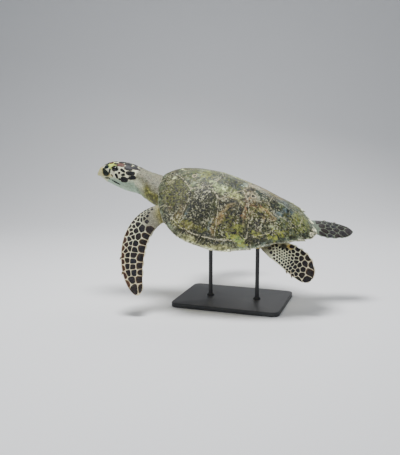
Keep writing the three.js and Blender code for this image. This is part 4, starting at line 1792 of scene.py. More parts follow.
@dataclass(frozen=True)
class PlateProfile:
    """A horny scale's section: how high it stands from its edge to its crown."""

    sides: int = 16
    sunk: float = -0.8
    rings: Line = ((1.0, 0.2), (0.93, 0.55), (0.72, 0.75), (0.4, 0.85))
    crown: float = 0.85

    def faces(self) -> Faces:
        """List the faces over the points in order: skirt, rings, crown, under-middle."""
        return capped(len(self.rings) + 1, self.sides)

    def levels(self) -> tuple[Array, Array]:
        """Give each point's share of the way out and its height.

        Returns:
            Two arrays, one value for each point.
        """
        n = self.sides
        share = [1.0] * n
        high = [self.sunk] * n
        for out, rise in self.rings:
            share += [out] * n
            high += [rise] * n
        return np.array([*share, 0.0, 0.0]), np.array([*high, self.crown, self.sunk])


PLATE = PlateProfile()
CORNER = 0.16  # the share of each side that a corner's cut takes
NEIGHBOURS = 21  # the scales near enough to share an edge with one


def clipped(polygon: Array, normal: Array, limit: float) -> Array:
    """Keep the part of a convex polygon on one side of a line.

    Args:
        polygon: N by 2 corners.
        normal: The line's direction across.
        limit: How far along it the kept part reaches.

    Returns:
        The kept corners.
    """
    over = polygon @ normal - limit
    kept = []
    for k in range(len(polygon)):
        a, b = over[k - 1], over[k]
        if (a > 0) != (b > 0):
            kept.append(polygon[k - 1] + (polygon[k] - polygon[k - 1]) * a / (a - b))
        if b <= 0:
            kept.append(polygon[k])
    return np.array(kept)


def rounded(polygon: Array, count: int, rounds: int = 2) -> Array:
    """Round a polygon's corners and divide its outline evenly.

    Args:
        polygon: N by 2 corners.
        count: Points wanted.
        rounds: How many times the corners are cut.

    Returns:
        The outline.
    """
    p = polygon
    for _ in range(rounds):
        after = np.roll(p, -1, axis=0)
        cut = [(1 - CORNER) * p + CORNER * after, CORNER * p + (1 - CORNER) * after]
        p = np.stack(cut, axis=1).reshape(-1, 2)
    return placed_along(np.concatenate([p, p[:1]]), np.arange(count) / count)


@dataclass(frozen=True)
class ScaleRow:
    """A row of scales along a blade: its share of the chord and the scales' shares of the span."""

    chord: float  # 1 is the leading edge
    spans: tuple[float, ...]


FRONT_ROWS = tuple(ScaleRow(*row) for row in (
    (-0.62, (0.345, 0.425, 0.487, 0.552, 0.655, 0.738, 0.862)),
    (-0.72, (0.795, 0.94)),
    (-0.1, (0.295, 0.372, 0.455, 0.525, 0.58, 0.637, 0.683, 0.736, 0.786)),
    (0.24, (0.26, 0.29, 0.42, 0.475, 0.53, 0.572, 0.853, 0.925)),
    (0.42, (0.235, 0.262, 0.31, 0.358, 0.45, 0.502, 0.635, 0.68, 0.73, 0.788)),
    (0.6, (0.2, 0.228, 0.256, 0.284, 0.322, 0.392, 0.425, 0.55, 0.603)),
    (0.83, (
        0.19, 0.216, 0.243, 0.27, 0.3, 0.33, 0.365, 0.4, 0.455, 0.52, 0.585, 0.64, 0.69, 0.74, 0.8,
        0.87, )),
))
HIND_ROWS = tuple(ScaleRow(*row) for row in (
    (-0.8, (0.405, 0.49, 0.575, 0.67, 0.775)),
    (-0.42, (0.46, 0.535, 0.61, 0.7, 0.85)),
    (-0.2, (0.37, 0.42, 0.49, 0.56)),
    (0.0, (0.13, 0.2, 0.255, 0.3, 0.345, 0.39, 0.445, 0.505, 0.6, 0.67, 0.76, 0.93)),
    (0.17, (0.16, 0.228, 0.278, 0.322, 0.367, 0.415, 0.465)),
    (0.32, (0.1, 0.19, 0.25, 0.3, 0.345, 0.39, 0.435, 0.485, 0.54, 0.585, 0.65, 0.735, 0.83)),
    (0.48, (0.14, 0.22, 0.275, 0.325, 0.37, 0.41, 0.46, 0.51)),
    (0.66, (0.18, 0.245, 0.3, 0.35, 0.4, 0.44, 0.49, 0.55, 0.61, 0.68, 0.76)),
    (0.88, (0.27, 0.33, 0.385, 0.45, 0.52, 0.59, 0.655, 0.75, 0.86)),
))
FAR_HIND_ROWS = tuple(
    ScaleRow(row.chord, tuple(t for t in row.spans if t > 0.57 + 0.06 * math.cos(5 * row.chord)))
    for row in HIND_ROWS
)


@dataclass(frozen=True)
class ScaleTint:
    """The colours of a flipper's horny scales."""

    dark: str = "0c0d13"
    brown: str = "2c211a"
    slate: str = "24252e"
    rust: str = "7a4a26"
    edge: str = "3a332c"
    worn_edge: str = "93744f"
    tip: str = "2b2624"
    under: str = "a39677"


@dataclass(frozen=True)
class Cover:
    """How scales cover a blade."""

    rows: tuple[ScaleRow, ...]
    gap: Curve  # clear skin between scales, along the span, mm
    room: Curve  # the most that a scale reaches from its middle, along the span, mm
    rooted: float = 0.3  # share of the span where the under face's scales start
    loose: float = 0.6  # how far scales stray from their rows, mm
    reach: float = 0.94  # of the chord, covered from the spine outward


FRONT_COVER = Cover(
    FRONT_ROWS,
    curve([0.2, 0.4, 1], [3.4, 2.1, 2.0]),
    curve([0.2, 0.3, 0.325, 0.345, 1], [6, 9, 14, 27, 34]),
)
HIND_COVER = Cover(
    HIND_ROWS,
    curve([0.1, 0.3, 0.45, 0.6, 1], [4.6, 3.6, 2.8, 2.0, 1.8]),
    curve([0.1, 0.4, 0.6, 1], [7, 10, 24, 32]),
)
COVERS = (FRONT_COVER, FRONT_COVER, HIND_COVER, replace(HIND_COVER, rows=FAR_HIND_ROWS))


@dataclass
class BladeScales:
    """The large horny scales over both faces of one flipper."""

    flipper: Flipper
    surface: SkinSurface
    cover: Cover
    seed: int = SEED
    colours: ScaleTint = ScaleTint()

    def seeds(self, face: int) -> Array:
        """Give the scales' middles on one face, in mm along the span and across the chord.

        Args:
            face: 1 for the outer face, -1 for the inner.

        Returns:
            N by 2 places.
        """
        random = np.random.default_rng([self.seed, face + 1])
        start = 0.0 if face > 0 else self.cover.rooted
        places = [(t, row.chord) for row in self.cover.rows for t in row.spans if t > start]
        t, c = np.array(places).T
        across = c * self.chord(t, c)
        loose = self.cover.loose
        stray = random.normal(0, loose if face > 0 else 2.5 * loose + 1.5, (len(t), 2))
        return np.stack([t * self.flipper.length(), across], axis=1) + stray

    def chord(self, t: Array, c: Array) -> Array:
        """Give the blade's reach before or behind its spine."""
        blade = self.flipper.blade
        return np.where(np.asarray(c) > 0, blade.lead(t), blade.trail(t))

    def cells(self, seeds: Array) -> list[Array]:
        """Divide the blade between the scales, with clear skin left between them.

        Args:
            seeds: The scales' middles.

        Returns:
            The scales' outlines.
        """
        made = []
        for i, seed in enumerate(seeds):
            t = seed[0] / self.flipper.length()
            clear, room = float(self.cover.gap(t)), float(self.cover.room(t))
            cell = seed + np.array([[-0.85, -1], [0.85, -1], [0.85, 1], [-0.85, 1]]) * room
            away = np.linalg.norm(seeds - seed, axis=1)
            for j in np.argsort(away)[1 : NEIGHBOURS + 1]:
                across = (seeds[j] - seed) / away[j]
                cell = clipped(cell, across, (seed + seeds[j]) @ across / 2 - clear / 2)
                if len(cell) < 3:
                    break
            if len(cell) >= 3:
                made.append(self.trimmed(rounded(cell, PLATE.sides)))
        return made

    def trimmed(self, outline: Array) -> Array:
        """Keep an outline inside the blade.

        Args:
            outline: N by 2 places, in mm along the span and across the chord.

        Returns:
            The same, none of them past the edge.
        """
        length = self.flipper.length()
        u = np.clip(outline[:, 0], 0, 0.985 * length)
        t = u / length
        blade, reach = self.flipper.blade, self.cover.reach
        v = np.clip(outline[:, 1], -blade.trail(t) * reach, blade.lead(t) * reach)
        return np.stack([u, v], axis=1)

    def plate(self, outline: Array, face: int, random: np.random.Generator) -> Shape:
        """Raise one scale over its outline.

        Args:
            outline: Its edge, in mm along the span and across the chord.
            face: 1 for the outer face, -1 for the inner.
            random: The draw for its colour.

        Returns:
            The scale, closed, with its tint and its bake patch.
        """
        middle = outline.mean(0)
        share, high = PLATE.levels()
        ring = np.tile(outline - middle, (len(PLATE.rings) + 1, 1))
        spread = np.concatenate([ring, np.zeros((2, 2))]) * share[:, None]
        u, v = (middle + spread).T
        t = u / self.flipper.length()
        c = np.clip(v / self.chord(t, v), -0.999, 0.999)
        angle = face * np.arccos(c)
        at = self.flipper.surface(t, angle, COAT_DEPTH)
        step_t = self.flipper.surface(t + 0.004, angle, COAT_DEPTH) - at
        step_a = self.flipper.surface(t, angle + 0.01, COAT_DEPTH) - at
        normal = unit(np.cross(step_t, step_a))
        _, _, _, out = self.flipper.frame(t)
        normal *= np.sign(np.sum(normal * out, axis=1) * face)[:, None]
        size = min(1.0, 0.45 + np.ptp(outline, axis=0).min() / 30)
        placed = self.surface.nearest(at) + normal * (high * size)[:, None]
        area = np.array([0.02 + 0.45 * middle[0] / self.flipper.length(), 0.5 + middle[1] / 130])
        spin = 2 * np.pi * np.arange(len(share)) / PLATE.sides
        return Shape(placed, PLATE.faces(), {
            "Tint": self.tints(middle, share, face, random),
            "OFBake": area + [0.5 * (face < 0), 0] + PATCH * share[:, None] * spun(spin),
        })

    def tints(self, middle: Array, share: Array, face: int, random: np.random.Generator) -> Array:
        """Colour one scale: dark, with a browner edge and rust near the leading edge.

        Args:
            middle: The scale's middle.
            share: Each point's share of the way out.
            face: 1 for the outer face, -1 for the inner.
            random: The draw for its shade.

        Returns:
            A linear colour for each point.
        """
        t = middle[0] / self.flipper.length()
        lead = middle[1] / float(self.chord(np.array(t), np.array(middle[1])))
        code = self.colours
        slate, brown = random.uniform(0, 1), random.uniform(0, 0.55)
        shade = washed(tint(code.dark), (code.slate, slate), (code.brown, brown))
        edge = tint(code.edge)
        if self.flipper.blade is FRONT_BLADE:
            rust = 0.34 * smooth(0.45, 0.9, lead) * smooth(0.4, 0.55, t) * random.uniform(0.4, 1)
            shade = washed(shade, (code.rust, rust), (code.tip, 0.7 * smooth(0.88, 0.93, t)))
            worn = 0.8 * smooth(0.4, 0.75, abs(lead)) * smooth(0.3, 0.4, t)
            edge = washed(edge, (code.worn_edge, worn))
        if self.flipper.name == "hind_left":
            edge = washed(edge, (code.worn_edge, 0.7 * smooth(-0.2, -0.6, lead)))
        if face < 0:
            shade = washed(shade, (code.under, 0.35))
        return blend(shade, edge, 0.6 * smooth(0.8, 1.0, share))

    def build(self) -> Piece:
        """Make the scales of both faces as one piece.

        Returns:
            The piece, not yet dressed.
        """
        random = np.random.default_rng(self.seed)
        plates = [
            self.plate(outline, face, random)
            for face in (1, -1)
            for outline in self.cells(self.seeds(face))
        ]
        return mesh_object(f"scales_{self.flipper.name}", joined(plates))


# ---------- shell plates ----------


@dataclass(frozen=True)
class Blotch:
    """A patch of colour on the shell, by its share along and across it and its size."""

    t: float
    s: float
    along: float  # mm
    across: float  # mm
    code: str
    strength: float
    fleck: float | None = None  # how thickly pale chips lie there, 0 to 1
    amber: float | None = None  # how strongly amber streaks show there, 0 to 1
    algae: float | None = None  # how thickly algae grow there, 0 to 1


BLOTCHES = tuple(Blotch(*row) for row in (
    # Broad zones.
    (0.1, 0.1, 60, 60, "585c44", 1.0, 0.45), (0.15, 0.48, 62, 75, "39351a", 1.0, 0.25, 0.1, 0.3),
    (0.2, 0.72, 40, 34, "4a4034", 0.9, 0.35, 0.3),
    (0.26, 0.08, 75, 45, "727a62", 1.0, 0.35, 0.0, 0.3),
    (0.33, 0.38, 60, 48, "3d3d34", 1.0, 0.8, 0.0), (0.36, 0.62, 68, 52, "363d41", 1.0, 0.4, 0.0),
    (0.45, 0.1, 70, 50, "5f6a5c", 1.0, 0.45, 0.0, 0.25),
    (0.54, 0.46, 62, 60, "2b2c32", 1.0, 0.35, 0.5),
    (0.53, 0.7, 62, 44, "3d3d30", 1.0, 0.5, 0.6, 0.35),
    (0.64, 0.12, 50, 60, "6b7066", 1.0, 0.6, 0.45),
    (0.7, 0.4, 60, 50, "574d38", 1.0, 0.45, 0.6, 0.3),
    (0.73, 0.64, 66, 46, "565956", 1.0, 0.6, 0.25, 0.15),
    (0.82, 0.2, 52, 50, "767e7e", 1.0, 0.5, 0.1, 0.1),
    (0.86, 0.5, 48, 48, "747a6a", 1.0, 0.6, 0.2, 0.3),
    (0.92, 0.15, 40, 40, "868a62", 0.95, 0.5, None, 0.5),
    # The front quarter.
    (0.1, 0.22, 14, 8, "c2b88e", 0.9), (0.085, 0.36, 14, 9, "a79a74", 0.8),
    (0.055, 0.42, 12, 22, "8a8552", 0.7), (0.13, 0.08, 26, 10, "9a9c80", 0.7),
    (0.155, 0.3, 16, 16, "7e8145", 0.6), (0.19, 0.5, 34, 30, "5a5220", 0.7),
    (0.225, 0.55, 9, 42, "33301f", 0.7), (0.18, 0.62, 16, 12, "7d7059", 0.6),
    (0.24, 0.3, 20, 22, "94966f", 0.75), (0.2, 0.25, 18, 14, "90907c", 0.7),
    (0.23, 0.2, 34, 14, "97937c", 0.75), (0.285, 0.06, 30, 14, "8f8b3c", 0.85, None, None, 0.7),
    (0.25, 0.11, 24, 16, "aca68a", 0.6), (0.29, 0.28, 12, 9, "bdb582", 0.85),
    (0.245, 0.72, 10, 26, "a08a72", 0.6), (0.27, 0.68, 9, 30, "8a8d88", 0.6),
    (0.28, 0.84, 50, 14, "8f8243", 0.8, None, None, 0.5), (0.23, 0.8, 20, 14, "9b8c4e", 0.7),
    # Painted shadow: the next row is a dark band along a ridge of the front margins, inside their
    # pale band.
    (0.2, 0.86, 34, 12, "55563e", 0.8),
    # The middle.
    (0.35, 0.17, 18, 9, "b2ad7e", 0.85), (0.37, 0.25, 16, 14, "8f9a58", 0.75),
    (0.4, 0.25, 26, 16, "b0ad78", 0.85), (0.43, 0.2, 14, 10, "c6be92", 0.8),
    (0.41, 0.47, 18, 26, "6d7040", 0.75), (0.42, 0.62, 8, 30, "8e8f7d", 0.5),
    (0.485, 0.06, 32, 22, "586061", 0.95, 0.15), (0.53, 0.03, 12, 10, "b9b7a4", 0.7),
    (0.495, 0.25, 26, 15, "b8ae6c", 0.95), (0.47, 0.22, 14, 22, "9c985a", 0.85),
    (0.52, 0.3, 13, 24, "afa666", 0.85), (0.545, 0.24, 16, 8, "bcb278", 0.8),
    (0.565, 0.33, 22, 8, "bfb074", 0.9), (0.555, 0.38, 9, 16, "a89a63", 0.8),
    (0.52, 0.4, 34, 20, "25272c", 0.85), (0.485, 0.47, 9, 16, "a18a52", 0.8),
    (0.475, 0.58, 12, 26, "a27c50", 0.9, None, 1.0),
    (0.455, 0.7, 12, 34, "a37d5c", 0.85, None, 1.0),
    (0.48, 0.68, 14, 9, "a48660", 0.8), (0.46, 0.8, 12, 14, "977556", 0.8),
    (0.465, 0.52, 10, 20, "8b6a48", 0.6), (0.435, 0.75, 7, 30, "8c8f8a", 0.7),
    (0.565, 0.5, 18, 24, "4b4f56", 0.85, None, 0.0), (0.53, 0.58, 28, 30, "2a2a2b", 0.88, 0.3, 0.2),
    (0.595, 0.44, 9, 16, "ab865c", 0.9, None, 1.0), (0.6, 0.52, 18, 6, "b68250", 0.8, None, 1.0),
    (0.62, 0.55, 7, 40, "a3936b", 0.7), (0.6, 0.7, 16, 14, "6f7238", 0.7, None, None, 0.9),
    # The rear.
    (0.575, 0.12, 22, 30, "b59a80", 0.85, 0.2), (0.61, 0.17, 34, 26, "b3a58c", 0.75),
    (0.61, 0.27, 22, 22, "90664a", 0.9, None, 0.9), (0.64, 0.3, 16, 12, "8a6046", 0.85),
    (0.665, 0.27, 22, 6, "a67c56", 0.85), (0.67, 0.34, 20, 9, "b7a368", 0.85),
    (0.705, 0.31, 22, 9, "c4ab75", 0.85), (0.73, 0.33, 14, 7, "a6764a", 0.8, None, 1.0),
    (0.64, 0.43, 20, 14, "6d5836", 0.7), (0.715, 0.44, 24, 10, "8b6648", 0.85, None, 0.9),
    (0.68, 0.5, 14, 22, "3f4548", 0.75), (0.69, 0.64, 8, 34, "8d7a78", 0.7),
    (0.755, 0.5, 24, 12, "3d4347", 0.7), (0.77, 0.6, 12, 9, "bcb488", 0.8),
    (0.76, 0.42, 14, 10, "a98a62", 0.7), (0.67, 0.02, 16, 12, "5a666b", 0.7),
    (0.8, 0.12, 34, 18, "737a7a", 0.85, None, 0.0),
    (0.835, 0.28, 28, 20, "6d7374", 0.85, None, 0.0),
    (0.76, 0.1, 20, 20, "57645f", 0.7), (0.78, 0.02, 34, 8, "b3ad80", 0.7),
    (0.88, 0.02, 40, 12, "9a9660", 0.8, None, None, 0.6),
    # Algae and wear low on the sides.
    (0.61, 0.85, 34, 14, "8f9c44", 0.85, None, None, 1.0),
    (0.64, 0.92, 26, 10, "93a24c", 0.8, None, None, 1.0),
    (0.7, 0.75, 22, 12, "6e7040", 0.6, None, None, 0.8),
    (0.82, 0.74, 40, 12, "86863a", 0.85, None, None, 0.9),
    (0.8, 0.85, 26, 10, "7a8240", 0.8, None, None, 1.0), (0.43, 0.86, 34, 12, "656468", 0.7),
    (0.5, 0.89, 40, 10, "6d6f76", 0.75), (0.38, 0.82, 30, 12, "827443", 0.7, None, None, 0.4),
    (0.58, 0.93, 30, 9, "6f7c82", 0.7), (0.75, 0.93, 44, 9, "74797c", 0.75),
))


@dataclass(frozen=True)
class ShellPaint:
    """The shell's colours and masks, from zones and blotches with broken edges."""

    ground: str = "56553f"
    rim_front: str = "94917b"
    rim_side: str = "d6c68e"
    rim_rear: str = "b1af9c"
    # The far side's rear rim: its own pale horn with a painted highlight along the outline.
    rim_far_pale_and_highlight: str = "d9d6c4"
    rim_edge: str = "ecdfbc"
    middling: float = 0.14  # the level that old and new horn stand apart from
    film: tuple[float, float] = (2.1, 0.78)  # how wet the plates look: depth and chroma
    water_light_tint: Spot = (0.99, 1.17, 1.3)  # a blue-green tint painted in for the water's light

    def paint(self, points: Array) -> tuple[Array, Array]:
        """Colour places on the plates.

        Args:
            points: N by 3 places in the turtle's frame.

        Returns:
            N by 3 linear colours, and N by 3 masks: pale chips, amber streaks, algae.
        """
        x, y, z = points.T
        warp = [noise(points, 22, k) * 7 + noise(points, 8, k + 4) * 3.5 for k in (70, 71)]
        px, py = x + warp[0], np.abs(y) + warp[1]
        colour = np.tile(tint(self.ground), (len(points), 1))
        masks = np.tile([0.5, 0.2, 0.1], (len(points), 1))
        broken = 0.46 * noise(points, 7, 76) + 0.26 * noise(points, 3.5, 77)
        for spot in BLOTCHES:
            at = SHELL.plan(spot.t, spot.s)
            level = SHELL.top(at[0], at[1])
            across = np.hypot(py - at[1], z - level) / spot.across
            near = np.hypot((px - at[0]) / spot.along, across)
            zone = spot.strength == 1
            share = smooth(1.35, 0.6, near) if zone else smooth(1.1, 0.8, near + broken)
            colour = washed(colour, (spot.code, spot.strength * share))
            for k, value in enumerate((spot.fleck, spot.amber, spot.algae)):
                if value is not None:
                    masks[:, k] += (value - masks[:, k]) * share
        # Old and new horn stand further apart than their own colours.
        level = colour.mean(axis=1, keepdims=True)
        colour *= np.minimum((level / self.middling) ** 0.35, 1.2)
        colour = self.edge(points, px, py, colour, masks)
        shade = 1 + 0.16 * noise(points, 11, 78) + 0.12 * noise(points, 34, 79)
        masks[:, 0] *= 0.8
        # The plates are tinted blue-green, painted in for the water's light.
        return wet(colour * shade[:, None] * self.water_light_tint, *self.film), np.clip(masks, 0, 1)

    def edge(self, points: Array, px: Array, py: Array, colour: Array, masks: Array) -> Array:
        """Pale the margin outward, and whiten its outer edge.

        Args:
            points: N by 3 places on the plates.
            px: Their places along the back, stirred by noise.
            py: Their places across it, stirred by noise.
            colour: N by 3 linear colours.
            masks: Their masks, which are changed.

        Returns:
            The colours with the margin's.
        """
        out = SHELL.radial(points[:, 0], points[:, 1])
        worn = SHELL.radial(px, py)
        t = px / SHELL.length + 0.5
        # far marks the far side's rear half, whose rim is paler: partly its own pale horn, partly
        # painted highlight along the outline.
        far = smooth(-10, 20, points[:, 1]) * smooth(0.35, 0.5, t)
        band = washed(
            tint(self.rim_front),
            (self.rim_side, smooth(0.2, 0.36, t)),
            (self.rim_rear, smooth(0.55, 0.7, t)),
            (self.rim_far_pale_and_highlight, far),
        )
        pale = smooth(0.915, 0.965, worn + 0.02 * noise(points, 40, 80))
        colour = blend(colour, band, (0.8 - 0.3 * smooth(0.6, 0.75, t)) * pale)
        masks[:, 1] *= 1 - pale
        masks[:, 0] *= 1 - 0.5 * pale
        white = smooth(0.978, 1.0, out + 0.01 * noise(points, 14, 81)) * smooth(0.22, 0.4, t)
        # The white edge fades toward the rear on the near side only; on the far side it stays, as
        # painted highlight.
        white *= 1 - 0.6 * smooth(0.6, 0.72, t) * (1 - far)
        masks[:, 2] *= 1 - 0.8 * white
        return washed(colour, (self.rim_edge, 0.9 * white))


@dataclass(frozen=True)
class Scute:
    """One horn plate by its corners, its growth centre and the way that it overlaps.

    A corner is a share along and across the shell; a corner across of None lies on the
    margin plates' inner line, and two such in a row are joined along that line.
    """

    corners: tuple[tuple[float, float | None], ...]
    growth: tuple[float, float]
    middle: bool = False  # mirrored over the midline into one plate


SCUTES = tuple(Scute(*row) for row in (
    (((0, None), (0.058, None), (0.112, 0.117), (0.161, 0)), (0.12, 0), True),
    (((0.161, 0), (0.112, 0.117), (0.232, 0.358), (0.347, 0.237), (0.385, 0)), (0.34, 0), True),
    (((0.385, 0), (0.347, 0.237), (0.424, 0.396), (0.535, 0.12), (0.56, 0)), (0.5, 0), True),
    (((0.56, 0), (0.535, 0.12), (0.585, 0.252), (0.7, 0.13), (0.705, 0)), (0.66, 0), True),
    (((0.705, 0), (0.7, 0.13), (0.76, 0.33), (0.9, None), (1, None)), (0.88, 0), True),
    (((0.112, 0.117), (0.058, None), (0.245, None), (0.248, 0.55), (0.232, 0.358)), (0.2, 0.32)),
    ((
        (0.232, 0.358), (0.248, 0.55), (0.245, None), (0.48, None), (0.45, 0.6), (0.424, 0.396),
        (0.347, 0.237),
    ), (0.39, 0.36)),
    ((
        (0.424, 0.396), (0.45, 0.6), (0.48, None), (0.66, None), (0.63, 0.5), (0.585, 0.252),
        (0.535, 0.12),
    ), (0.56, 0.3)),
    ((
        (0.585, 0.252), (0.63, 0.5), (0.66, None), (0.9, None), (0.76, 0.33), (0.7, 0.13),
    ), (0.71, 0.3)),
))  # vertebral plates from the front, then costal ones


@dataclass
class Carapace:
    """The upper shell: overlapping horn plates over smooth bone, with old barnacle scars."""

    gauge: float = 2.4  # a plate's thickness, mm
    lift: float = 1.2  # how far a plate's rear edge stands over the next, mm
    overlap: float = 3.5  # mm
    ragged: float = 0.7  # mm
    keel: float = 1.6  # mm
    tuck: float = 0.012  # of the way out, that the margin plates reach under the others
    bone_inset: float = 2.2  # how far the bone stays inside the plates' edge, mm
    bone_depth: float = 1.9  # how far the bone lies under the plates' outer face, mm
    step: float = 2.6  # mm between an outline's points
    shift: float = 7.3  # of the streaks' pattern, from each plate to the next
    shares: tuple[float, ...] = (
        1, 1, 0.994, 0.98, 0.962, 0.94, 0.915, 0.885, 0.85, 0.81, 0.765, 0.72, 0.675, 0.63, 0.585,
        0.54, 0.495, 0.45, 0.405, 0.36, 0.315, 0.27, 0.225, 0.18, 0.135, 0.09, 0.045,
    )
    drops: Spot = (1.0, 0.3, 0.06)  # of the gauge, at the first rings
    bone_colour: str = "3c382f"
    bone_under: str = "d2c593"  # on its inner face
    scar_colour: str = "3c3d36"
    chalk: str = "d6c8a2"  # on a scar's rim
    scars: tuple[Spot, ...] = (  # barnacles: shares along and across, and a radius in mm
        (0.215, -0.103, 9), (0.608, -0.155, 10), (0.34, 0.5, 7), (0.72, 0.3, 6),
    )
    ring: Line = (  # a barnacle's section: shares of the radius and heights
        (1.2, -1), (1.1, 0.1), (0.98, 0.9), (0.88, 1.1), (0.78, 0.7), (0.68, 0), (0.3, -0.3),
    )
    inner: Curve = curve([0, 0.1, 0.25, 0.45, 0.7, 1], [0.92, 0.925, 0.915, 0.885, 0.855, 0.82])

    def inner_line(self, start: float, end: float, count: int = 15) -> Array:
        """Give points of the margin plates' inner line between two shares along the shell.

        Args:
            start: The first share.
            end: The last share.
            count: Points wanted.

        Returns:
            The points of the plan, on the right side.
        """
        fractions = np.linspace(0, 1, 401)
        line = SHELL.margin(fractions) * self.inner(fractions)[:, None]
        t = line[:, 0] / SHELL.length + 0.5
        low = 0.0 if start <= 0 else np.interp(start, t, fractions)
        high = 1.0 if end >= 1 else np.interp(end, t, fractions)
        wanted = np.linspace(low, high, count)
        return SHELL.margin(wanted) * self.inner(wanted)[:, None]

    def outline(self, scute: Scute, side: int) -> Array:
        """Give a plate's outline as corners of the plan, for one side.

        Args:
            scute: The plate.
            side: 1 for the right, -1 for the left.

        Returns:
            N by 2 points of the plan.
        """
        found: list[Array] = []
        for k, (t, s) in enumerate(scute.corners):
            if s is not None:
                found.append(SHELL.plan(t, s)[None])
                continue
            before = scute.corners[k - 1]
            if k and before[1] is None:
                found.append(self.inner_line(before[0], t))
            elif k + 1 < len(scute.corners) and scute.corners[k + 1][1] is not None:
                found.append(self.inner_line(t, t, 1))
        half = np.concatenate(found)
        if not scute.middle:
            return half * [1, side]
        whole = np.concatenate([half, half[::-1] * [1, -1]])
        return whole[np.linalg.norm(whole - np.roll(whole, 1, axis=0), axis=1) > 0.5]

    def marginal(self, order: int, side: int) -> Array:
        """Give a margin plate's outline, its outer edge serrated.

        Args:
            order: The plate's number from the front.
            side: 1 for the right, -1 for the left.

        Returns:
            N by 2 points of the plan.
        """
        start, end = SHELL.marginal(order), SHELL.marginal(order + 1)
        share = np.linspace(0, 1, 14)
        f = start + (end - start) * share
        base = SHELL.margin(f)
        outer = base + unit(base) * SHELL.tooth(order, np.minimum(share / 0.97, 1))[:, None]
        return np.concatenate([self.tucked(base, f), outer[::-1]]) * [1, side]

    def tucked(self, base: Array, fractions: Array) -> Array:
        """Give a margin plate's inner edge, a little under the plates inside it."""
        return base * (self.inner(fractions) - self.tuck)[:, None]

    def nuchal(self) -> Array:
        """Give the front middle plate's outline.

        Returns:
            N by 2 points of the plan.
        """
        f = np.linspace(0, SHELL.nuchal_share, 6)
        base = SHELL.margin(f)
        half = np.concatenate([self.tucked(base, f), base[::-1]])
        return np.concatenate([half, half[::-1][1:-1] * [1, -1]])

    def dense(self, corners: Array) -> Array:
        """Divide an outline evenly, rounding its corners a little and roughening it.

        Args:
            corners: N by 2 points of the plan.

        Returns:
            More points, evenly set.
        """
        after = np.roll(corners, -1, axis=0)
        parts = np.linspace(0, 1, 5)[:-1, None, None]
        fine = (corners + (after - corners) * parts).transpose(1, 0, 2).reshape(-1, 2)
        around = np.linalg.norm(after - corners, axis=1).sum()
        ring = rounded(fine, max(40, int(around / self.step)), 1)
        outward = self.outward(ring)
        places = np.column_stack([ring, np.zeros(len(ring))])
        rough = noise(places, 12, 90) + 0.6 * noise(places, 5, 91)
        return ring + outward * (self.ragged * rough)[:, None]

    def outward(self, ring: Array) -> Array:
        """Give an outline's outward directions, whichever way round it runs.

        Args:
            ring: N by 2 points of the plan.

        Returns:
            A direction for each.
        """
        along = np.roll(ring, -1, axis=0) - np.roll(ring, 1, axis=0)
        across = unit(np.stack([along[:, 1], -along[:, 0]], axis=1))
        area = np.sum(ring[:, 0] * along[:, 1] - ring[:, 1] * along[:, 0])
        return across * np.sign(area)

    def plate(
        self, corners: Array, growth: Array, lean: Array, order: int, keel: float = 0.0
    ) -> Shape:
        """Raise one plate over its outline.

        Args:
            corners: The outline's corners in the plan.
            growth: The plate's growth centre in the plan.
            lean: The direction that it overlaps in, or one for each outline point.
            order: The plate's number, for its own pattern.
            keel: How high its ridge along the midline stands.

        Returns:
            The closed plate with its values.
        """
        ring = self.dense(corners)
        outward = self.outward(ring)
        rear = np.clip(np.sum(outward * lean, axis=1), -1, 1)
        ring = ring + outward * (self.overlap * np.clip(rear, 0, 1) ** 0.7)[:, None]
        middle = ring.mean(0)
        n = len(ring)
        share = np.repeat(self.shares, n)
        x, y = (middle + np.tile(ring - middle, (len(self.shares), 1)) * share[:, None]).T
        drop = np.zeros(len(self.shares))
        drop[: len(self.drops)] = self.drops
        near_edge = smooth(0.72, 1.0, share)
        lifted = np.where(rear > 0, self.lift * rear, 0.7 * rear)
        rise = np.tile(lifted, len(self.shares)) * near_edge
        rise += keel * np.exp(-((y / 9) ** 2)) * smooth(1.0, 0.7, share)
        rise += 0.5 * smooth(1.0, 0.2, share)
        z = SHELL.outer(x, y) + rise - self.gauge * np.repeat(drop, n)
        crown = SHELL.outer(middle[:1], middle[1:])[0] + 0.5 + keel * (abs(middle[1]) < 3)
        top = np.array([[*middle, crown]])
        under = top - [0, 0, self.gauge + 0.5 + keel]
        points = np.concatenate([np.column_stack([x, y, z]), top, under])
        points[:, 2] += 0.25 * noise(points, 16, 92)
        rays = np.column_stack([points[:, :2] - growth, np.full(len(points), self.shift * order)])
        colour, masks = ShellPaint().paint(points)
        rim = np.concatenate([share, [0, 1]])
        values = {"Tint": colour, "Masks": masks, "Ray": rays, "Rim": rim}
        return Shape(points, capped(len(self.shares), n), values)

    def groups(self) -> dict[str, Shape]:
        """Make the plates, gathered along the middle, over the ribs and round the margin.

        Returns:
            The plates by the piece's name.
        """
        vertebral, costal, marginal = [], [], []
        for order, scute in enumerate(SCUTES):
            growth = SHELL.plan(*scute.growth)
            if scute.middle:
                outline = self.outline(scute, 1)
                vertebral.append(self.plate(outline, growth, np.array([1.0, 0]), order, self.keel))
                continue
            for side in (1, -1):
                lean = unit(np.array([0.8, 0.6 * side]))
                number = order + 20 * (side < 0)
                outline = self.outline(scute, side)
                costal.append(self.plate(outline, growth * [1, side], lean, number))
        front = self.nuchal()
        marginal.append(self.plate(front, front.mean(0), np.array([0.0, 0]), 40))
        for order in range(SHELL.marginals):
            start, end = SHELL.margin(np.array([SHELL.marginal(order), SHELL.marginal(order + 1)]))
            for side in (1, -1):
                along = unit((end - start) * [1, side])
                growth = end * [0.95, 0.95 * side]
                marginal.append(self.plate(self.marginal(order, side), growth, along, 41 + order))
        return {
            "vertebral_scutes": joined(vertebral),
            "costal_scutes": joined(costal),
            "marginal_scutes": joined(marginal),
        }

